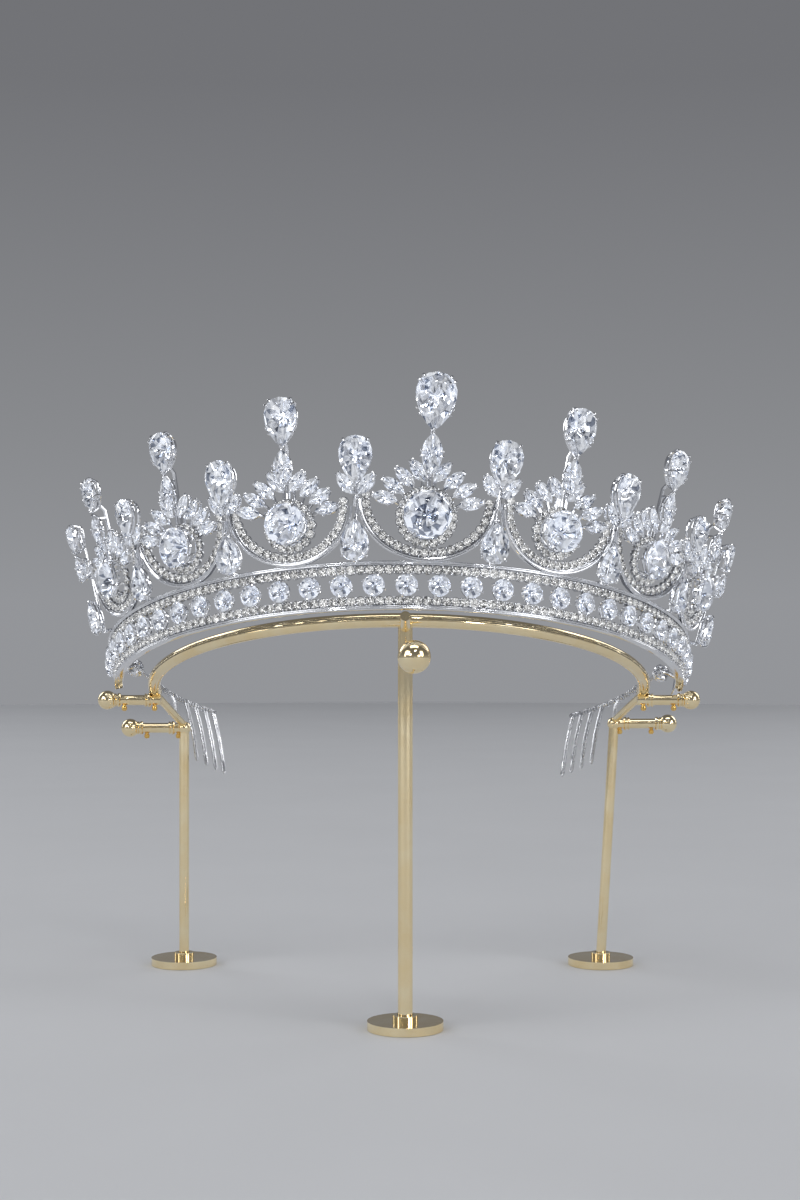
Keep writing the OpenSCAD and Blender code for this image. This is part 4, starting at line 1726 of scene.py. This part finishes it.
@dataclass(frozen=True)
class Comb:
    """Wire comb on a wound sleeve at one side of the crown.

    Attributes:
        side: -1 on the left and 1 on the right.
        z: height of its bar over the lower rim.
        radius: of its bar round the crown's axis.
        front_r: radius of its sleeve's place.
        front: angle of the sleeve from the front, degrees.
        start: angle where the bar starts.
        teeth: angle and length of each tooth.
        lean: how far round a tooth's tip stands, degrees.
        skew: how far round both combs are set to the left, degrees.
        sleeve_turns: turns of wire in the sleeve.
        sleeve_r: radius of those turns.
        sleeve_pitch: their spacing.
        wound_turns: turns of fine wire round the bar.
        wound_r: radius of those turns.
        tooth_gap: half of the distance between a tooth's two wires.
    """

    side: int
    z: float = 5.0
    radius: float = 66.0
    front_r: float = 69.6
    front: float = 86.5
    start: float = 99.0
    teeth: Sequence[tuple[float, float]] = (
        (109.5, 4.8),
        (117.4, 16.5),
        (121.6, 17.0),
        (125.4, 17.5),
        (128.6, 18.0),
    )
    lean: float = 1.2
    skew: float = 2.0
    sleeve_turns: float = 3.25
    sleeve_r: float = 1.62
    sleeve_pitch: float = 1.06
    wound_turns: int = 26
    wound_r: float = 0.62
    tooth_gap: float = 0.42

    def at(self, angle: float, radius: float, z: float) -> list[float]:
        """Point in the crown's frame at an angle from the front."""
        a = math.radians(angle - self.skew * self.side)
        return [self.side * radius * math.sin(a), -radius * math.cos(a), z]

    def sleeve(self) -> Shell:
        """Wire wound round the crown's lug, with its tail towards the bar.

        Returns:
            The wire.
        """
        middle = np.array(self.at(self.front, self.front_r, self.z))
        along = np.array(self.at(self.front + 1, self.front_r, self.z)) - middle
        along /= np.linalg.norm(along)
        up = np.array([0.0, 0.0, 1.0])
        out = np.cross(up, along)
        points_a_turn = 20
        path = []
        for i in range(int(self.sleeve_turns * points_a_turn) + 1):
            turn = i / points_a_turn
            a = 2 * math.pi * turn
            shift = (turn - self.sleeve_turns / 2) * self.sleeve_pitch
            path.append(middle + along * shift + self.sleeve_r * (up * math.cos(a) + out * math.sin(a)))
        return tube(path, radius=0.5)

    def bar(self) -> list[Shell]:
        """Bar with fine wire wound round it, and the arm from the sleeve.

        Returns:
            The arm, the bar and the fine wire.
        """
        arm = [
            self.at(self.front + 0.8, self.front_r - 1.57, self.z),
            self.at(self.front + 5, self.front_r - 1.9, self.z),
            self.at(self.start, self.radius, self.z),
        ]
        end = self.teeth[-1][0] + 1
        core = [self.at(a, self.radius, self.z) for a in np.linspace(self.start, end, 24)]
        points_a_turn = 14
        steps = points_a_turn * self.wound_turns
        wound = []
        for i in range(steps + 1):
            a = 2 * math.pi * i / points_a_turn
            angle = self.start + (end - self.start) * i / steps
            out, up = self.wound_r * math.cos(a), self.wound_r * math.sin(a)
            wound.append(self.at(angle, self.radius + out, self.z + up))
        return [tube(arm, radius=0.45), tube(core, radius=0.55), tube(wound, radius=0.17, sides=5)]

    def tooth(self, angle: float, length: float) -> Shell:
        """One tooth: a fine wire down, round its tip and up again beside itself.

        Args:
            angle: place round the crown, degrees from the front.
            length: of the tooth.

        Returns:
            The wire.
        """
        half = math.degrees(self.tooth_gap / self.radius)
        parts = (0.0, 0.25, 0.5, 0.75, 0.97)
        path = [self.tooth_point(angle, length, part, -half) for part in parts]
        path.append(self.tooth_point(angle, length, 1.0, 0.0))
        path += [self.tooth_point(angle, length, part, half) for part in reversed(parts)]
        return tube(path, radius=0.34)

    def tooth_point(self, angle: float, length: float, part: float, shift: float) -> list[float]:
        """Point of a tooth part of the way down, shifted round the crown by an angle."""
        r = self.radius - length * 0.21 * part - 0.5 * math.sin(math.pi * part)
        return self.at(angle + shift + self.lean * part, r, self.z - length * part)

    def build(self) -> None:
        """Makes the comb and the lug that carries it."""
        name = SIDES[self.side]
        piece = Piece(f"comb_wires_{name}", Slot.SILVER, [WIRE, RHODIUM])
        piece.add(self.sleeve(), LAYOUT.crown, 1)
        piece.add(self.bar(), LAYOUT.crown)
        for angle, length in self.teeth:
            piece.add(self.tooth(angle, length), LAYOUT.crown)
        piece.make([f"comb_{name}"])
        lug = [
            self.at(self.front + 2, self.front_r, self.z),
            self.at(self.front - 2.2, self.front_r, self.z),
            self.at(self.front - 2.9, self.front_r + 1.8, self.z - 1.0),
            self.at(self.front - 3.4, LAYOUT.crown_r - 1, 2.4),
        ]
        holder = Piece(f"comb_lug_{name}", Slot.SILVER, [RHODIUM])
        holder.add(tube(lug, radius=0.5), LAYOUT.crown)
        holder.make(["crown_frame"])


# Stepped collar beside a ball: radius and distance along the arm
COLLAR = (
    (0, 0.0),
    (1.55, 0.0),
    (1.85, 0.25),
    (1.85, 0.75),
    (1.5, 0.85),
    (1.5, 1.1),
    (1.75, 1.2),
    (1.75, 1.6),
    (0, 1.6),
)
# Set screw with a domed head: radius, and height over the rod's underside
SET_SCREW = ((0, 0.2), (0.5, 0.2), (0.5, -0.4), (0.72, -0.5), (0.72, -1.2), (0.5, -1.5), (0, -1.6))


@dataclass(frozen=True)
class Stand:
    """Plain rod stand: half ring on three posts, with ball-ended arms.

    Attributes:
        ring_r: radius of the ring.
        ring_half: half of the ring's sweep, degrees.
        ring_z: height of the ring's centre line in its own tilted frame.
        rod: radius of the ring and the front post.
        spur: radius of the short rod before the ring's front.
        spur_y: where that rod ends, front to back.
        spur_z: its height.
        thin: radius of the rear posts and arms.
        link: radius of the rods between the ring's ends and the rear posts.
        arm_at: place of the side arms, front to back and up.
        ball_x: sideways place of the side balls.
        rear: place of the rear posts' tops.
        rear_reach: length of the rear arms.
        front_ball: middle of the front ball.
        foot_h: height of the posts' lower ends.
    """

    ring_r: float = 64.6
    ring_half: float = 91.0
    ring_z: float = 0.42
    rod: float = 1.7
    spur: float = 1.2
    spur_y: float = -74.2
    spur_z: float = -1.5
    thin: float = 1.35
    link: float = 1.0
    arm_at: tuple[float, float] = (-0.6, -2.0)
    ball_x: float = 77.3
    rear: tuple[float, float, float] = (59.5, 22.5, -9.4)
    rear_reach: float = 14.9
    front_ball: tuple[float, float, float] = (3.5, -74.6, 11.8)
    foot_h: float = 1.2

    def ring(self) -> Shell:
        """The ring that carries the crown, a little thinner at its two ends.

        Returns:
            The rod in the tilted frame.
        """
        steps = 120
        angles = [math.radians(-self.ring_half + 2 * self.ring_half * i / steps) for i in range(steps + 1)]
        path = [[self.ring_r * math.sin(a), -self.ring_r * math.cos(a), self.ring_z] for a in angles]
        end = self.rod * 0.8
        return tube(path, [end, *[self.rod] * (steps - 1), end], sides=28)

    def arm(
        self, piece: Piece, place: Place, start: Sequence[float], end: Sequence[float], side: int
    ) -> None:
        """Adds an arm with a stepped collar at each end and two set screws under it.

        Args:
            piece: what it joins.
            place: its placement.
            start: inner end.
            end: where the ball's middle stands.
            side: -1 on the left and 1 on the right.
        """
        a, b, way = np.array(start), np.array(end), np.array([side, 0.0, 0.0])
        piece.add(tube([a, a * 0.5 + b * 0.5, b], self.thin, sides=24), place)
        turn = np.array([[0.0, 0.0, side], [0.0, 1.0, 0.0], [-side, 0.0, 0.0]])
        for at in (b - way * 3.6, a + way * 2.6):
            shell = lathe(COLLAR, sides=28, at=(0, 0, 0), ring=False)
            shell.points = shell.points @ turn.T + at
            piece.add(shell.outward(), place)
        for at in (b - way * 4.6, a + way * 1.6):
            screw = lathe(SET_SCREW, sides=18, at=at - np.array([0.0, 0.0, self.thin]), ring=False)
            piece.add(screw, place, 1)

    def front(self, piece: Piece) -> None:
        """Adds the short rod before the ring, the front post and the front ball's arm.

        Args:
            piece: what they join.
        """
        x, y = LAYOUT.post_x, LAYOUT.post_y
        spur = [[x, y_end, self.spur_z] for y_end in (0.4 - self.ring_r, self.spur_y)]
        piece.add(tube(spur, self.spur, sides=20), LAYOUT.tilted)
        post = [[x, y, z] for z in (self.foot_h - LAYOUT.centre_h, -30, 14, 20)]
        piece.add(tube(post, self.rod + 0.05, sides=28), LAYOUT.stand)
        arm = [[x, y, self.front_ball[2]], self.front_ball]
        piece.add(tube(arm, self.thin, sides=24), LAYOUT.stand)

    def half(self, piece: Piece, side: int, drop: float, lean: float) -> None:
        """Adds one side: arms with balls, link, elbow and rear post.

        Args:
            piece: what they join.
            side: -1 on the left and 1 on the right.
            drop: how far the rear arm stands lower.
            lean: how far inwards the rear post's foot stands.
        """
        x, y, z = self.rear
        top = np.array([side * x, y, z - drop])
        self.arm(
            piece,
            LAYOUT.tilted,
            [side * (self.ring_r - 1.5), *self.arm_at],
            [side * self.ball_x, *self.arm_at],
            side,
        )
        self.arm(piece, LAYOUT.stand, top, top + [side * self.rear_reach, 0, 0], side)
        link = [[side * (self.ring_r - 0.2), -0.4, -0.4], top + [side * 0.2, -0.3, 1.0]]
        piece.add(tube(link, self.link, sides=20), LAYOUT.stand)
        elbow_r = self.thin + 0.5
        elbow = [(elbow_r * math.cos(a), elbow_r * math.sin(a)) for a in np.radians(range(-90, 91, 15))]
        piece.add(lathe(elbow, sides=28, at=top, ring=False), LAYOUT.stand)
        foot = [side * (x - lean), y, self.foot_h - LAYOUT.centre_h]
        piece.add(tube([foot, top], self.thin, sides=24), LAYOUT.stand)

    def build(self) -> None:
        """Makes the stand's frame."""
        piece = Piece("stand_rods", Slot.GOLD, [BRASS, SCREW])
        piece.add(self.ring(), LAYOUT.tilted)
        self.front(piece)
        self.half(piece, side=-1, drop=1.2, lean=0.0)
        self.half(piece, side=1, drop=0.0, lean=3.7)
        piece.make(["stand_frame"])


def dress_node(shown: bpy.types.Object, finish: MetalFinish) -> None:
    """Gives a CAD node that stays its finish.

    Args:
        shown: the node's object.
        finish: its material.
    """
    shown.data.materials.clear()
    shown.data.materials.append(finish.material())
    LOG.info("%s keeps its shape", shown.name)


# Studio


@dataclass(frozen=True)
class Lamp:
    """One soft lamp aimed at the crown.

    Attributes:
        name: of the lamp.
        at: its place in metres.
        size: its width and height in metres.
        watts: its power.
        colour: its tint.
    """

    name: str
    at: tuple[float, float, float]
    size: tuple[float, float]
    watts: float
    colour: Colour = (1.0, 1.0, 1.0)

    def make(self, aim: tuple[float, float, float]) -> None:
        """Makes the lamp.

        Args:
            aim: point that it is turned to.
        """
        data = bpy.data.lights.new(self.name, "AREA")
        data.shape = "RECTANGLE"
        data.size, data.size_y = self.size
        data.energy = self.watts
        data.color = self.colour
        lamp = bpy.data.objects.new(self.name, data)
        lamp.location = self.at
        lamp.visible_camera = False
        way = Vector(np.subtract(aim, self.at))
        lamp.rotation_euler = way.to_track_quat("-Z", "Y").to_euler()
        bpy.context.scene.collection.objects.link(lamp)


@dataclass(frozen=True)
class Studio:
    """Pale floor and surround, soft lamps and the camera at the photograph's angle.

    Attributes:
        lamps: all lamps.
        aim: point that they are turned to.
        floor_r: radius of the floor.
        floor_z: height of the floor, just under the feet.
        floor_tones: darker and lighter colour of the floor.
        sky_tones: brightness stops of the surround, from the horizon at 0 upwards.
        lens: focal length in millimetres.
        eye: place of the camera in metres.
    """

    lamps: tuple[Lamp, ...] = (
        Lamp("front_left", (-1.15, -1.0, 0.85), (0.75, 0.8), 5.2),
        Lamp("front_right", (1.2, -0.85, 0.65), (0.6, 0.8), 3.6, (0.97, 0.98, 1.0)),
        Lamp("over", (0.0, -0.3, 1.6), (1.2, 0.5), 5.0),
        Lamp("rear_left", (-1.1, 1.15, 0.9), (0.7, 0.8), 3.8, (0.96, 0.98, 1.0)),
        Lamp("rear_right", (1.1, 1.15, 0.9), (0.7, 0.8), 3.8),
        Lamp("strip_left", (-1.3, -0.6, 0.6), (0.25, 0.9), 1.8),
        Lamp("strip_right", (1.25, -0.75, 0.6), (0.2, 0.9), 1.4),
        Lamp("strip_rear_left", (-1.2, 0.9, 0.6), (0.2, 0.9), 1.4),
        Lamp("strip_rear_right", (1.3, 0.8, 0.6), (0.2, 0.9), 1.4),
        Lamp("spark_left", (-0.6, -1.3, 0.55), (0.16, 0.16), 1.6),
        Lamp("spark_right", (0.75, -1.15, 0.3), (0.14, 0.14), 1.2),
        Lamp("spark_high", (0.15, -1.1, 1.15), (0.2, 0.14), 1.4),
    )
    aim: tuple[float, float, float] = (0.0, 0.06, 0.1)
    floor_r: float = 1.5
    floor_z: float = -0.1 * MM
    floor_tones: tuple[Colour, Colour] = ((0.62, 0.63, 0.65), (0.66, 0.67, 0.69))
    sky_tones: tuple[tuple[float, Colour], ...] = (
        (0.0, (0.295, 0.302, 0.32)),
        (0.08, (0.25, 0.256, 0.27)),
        (0.25, (0.17, 0.173, 0.185)),
        (0.8, (0.14, 0.143, 0.155)),
    )
    lens: float = 60.0
    eye: tuple[float, float, float] = (-0.00124, -0.4699, 0.1008)

    def floor(self) -> None:
        """Round pale floor, as bright at its edge as the surround behind it."""
        turns = np.radians(np.arange(0, 360, 3))
        points = [(self.floor_r * math.cos(a), self.floor_r * math.sin(a), self.floor_z) for a in turns]
        mesh = bpy.data.meshes.new("floor")
        mesh.from_pydata(points, [], [tuple(range(len(points)))])
        paint = bpy.data.materials.new("floor_paint")
        paint.use_nodes = True
        tree = paint.node_tree
        noise = node(tree, "ShaderNodeTexNoise", Scale=14.0, Detail=3.0)
        tint = blend(tree, *self.floor_tones)
        surface = tree.nodes["Principled BSDF"]
        surface.inputs["Roughness"].default_value = 0.75
        join(
            tree,
            (node(tree, "ShaderNodeTexCoord"), "Object", noise, "Vector"),
            (noise, 0, tint, "Factor"),
            (tint, "Result", surface, "Base Color"),
        )
        mesh.materials.append(paint)
        floor = bpy.data.objects.new("floor", mesh)
        bpy.context.scene.collection.objects.link(floor)

    def sky(self) -> None:
        """Soft surround: pale near the horizon and dim overhead, so that polished metal has contrast."""
        world = bpy.data.worlds.new("surround")
        bpy.context.scene.world = world
        world.use_nodes = True
        tree = world.node_tree
        parts = node(tree, "ShaderNodeSeparateXYZ")
        ramp = node(tree, "ShaderNodeValToRGB")
        stops = ramp.color_ramp.elements
        while len(stops) < len(self.sky_tones):
            stops.new(1.0)
        for stop, (level, tone) in zip(stops, self.sky_tones):
            stop.position = level
            stop.color = (*tone, 1.0)
        join(
            tree,
            (node(tree, "ShaderNodeTexCoord"), "Generated", parts, 0),
            (parts, "Z", ramp, 0),
            (ramp, 0, tree.nodes["Background"], "Color"),
        )

    def camera(self) -> None:
        """Level camera before the crown, with the photograph's long lens."""
        data = bpy.data.cameras.new("camera")
        data.lens = self.lens
        data.sensor_width = 36.0
        data.clip_start = 0.01
        data.clip_end = 50.0
        camera = bpy.data.objects.new("camera", data)
        camera.location = self.eye
        camera.rotation_euler = (math.radians(90.0), 0.0, 0.0)
        bpy.context.scene.collection.objects.link(camera)
        bpy.context.scene.camera = camera

    def build(self) -> None:
        """Sets up the whole studio."""
        self.floor()
        self.sky()
        for lamp in self.lamps:
            lamp.make(self.aim)
        self.camera()
        bpy.context.scene.view_settings.view_transform = "Standard"


def main() -> None:
    """Builds the crown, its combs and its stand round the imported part."""
    logging.basicConfig(level=logging.INFO, format="%(name)s: %(message)s")
    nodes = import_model()["nodes"]
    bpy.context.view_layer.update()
    Band().build()
    Crest().build()
    for side in SIDES:
        Comb(side).build()
    Stand().build()
    for name in ("front", "left", "right", "rear_left", "rear_right"):
        dress_node(nodes[f"ball_{name}"], BRASS)
    for name in ("front", "left", "right"):
        dress_node(nodes[f"foot_{name}"], BRASS)
    Studio().build()
    LOG.info("all pieces: %d triangles", Piece.total)


if __name__ == "__main__":
    main()
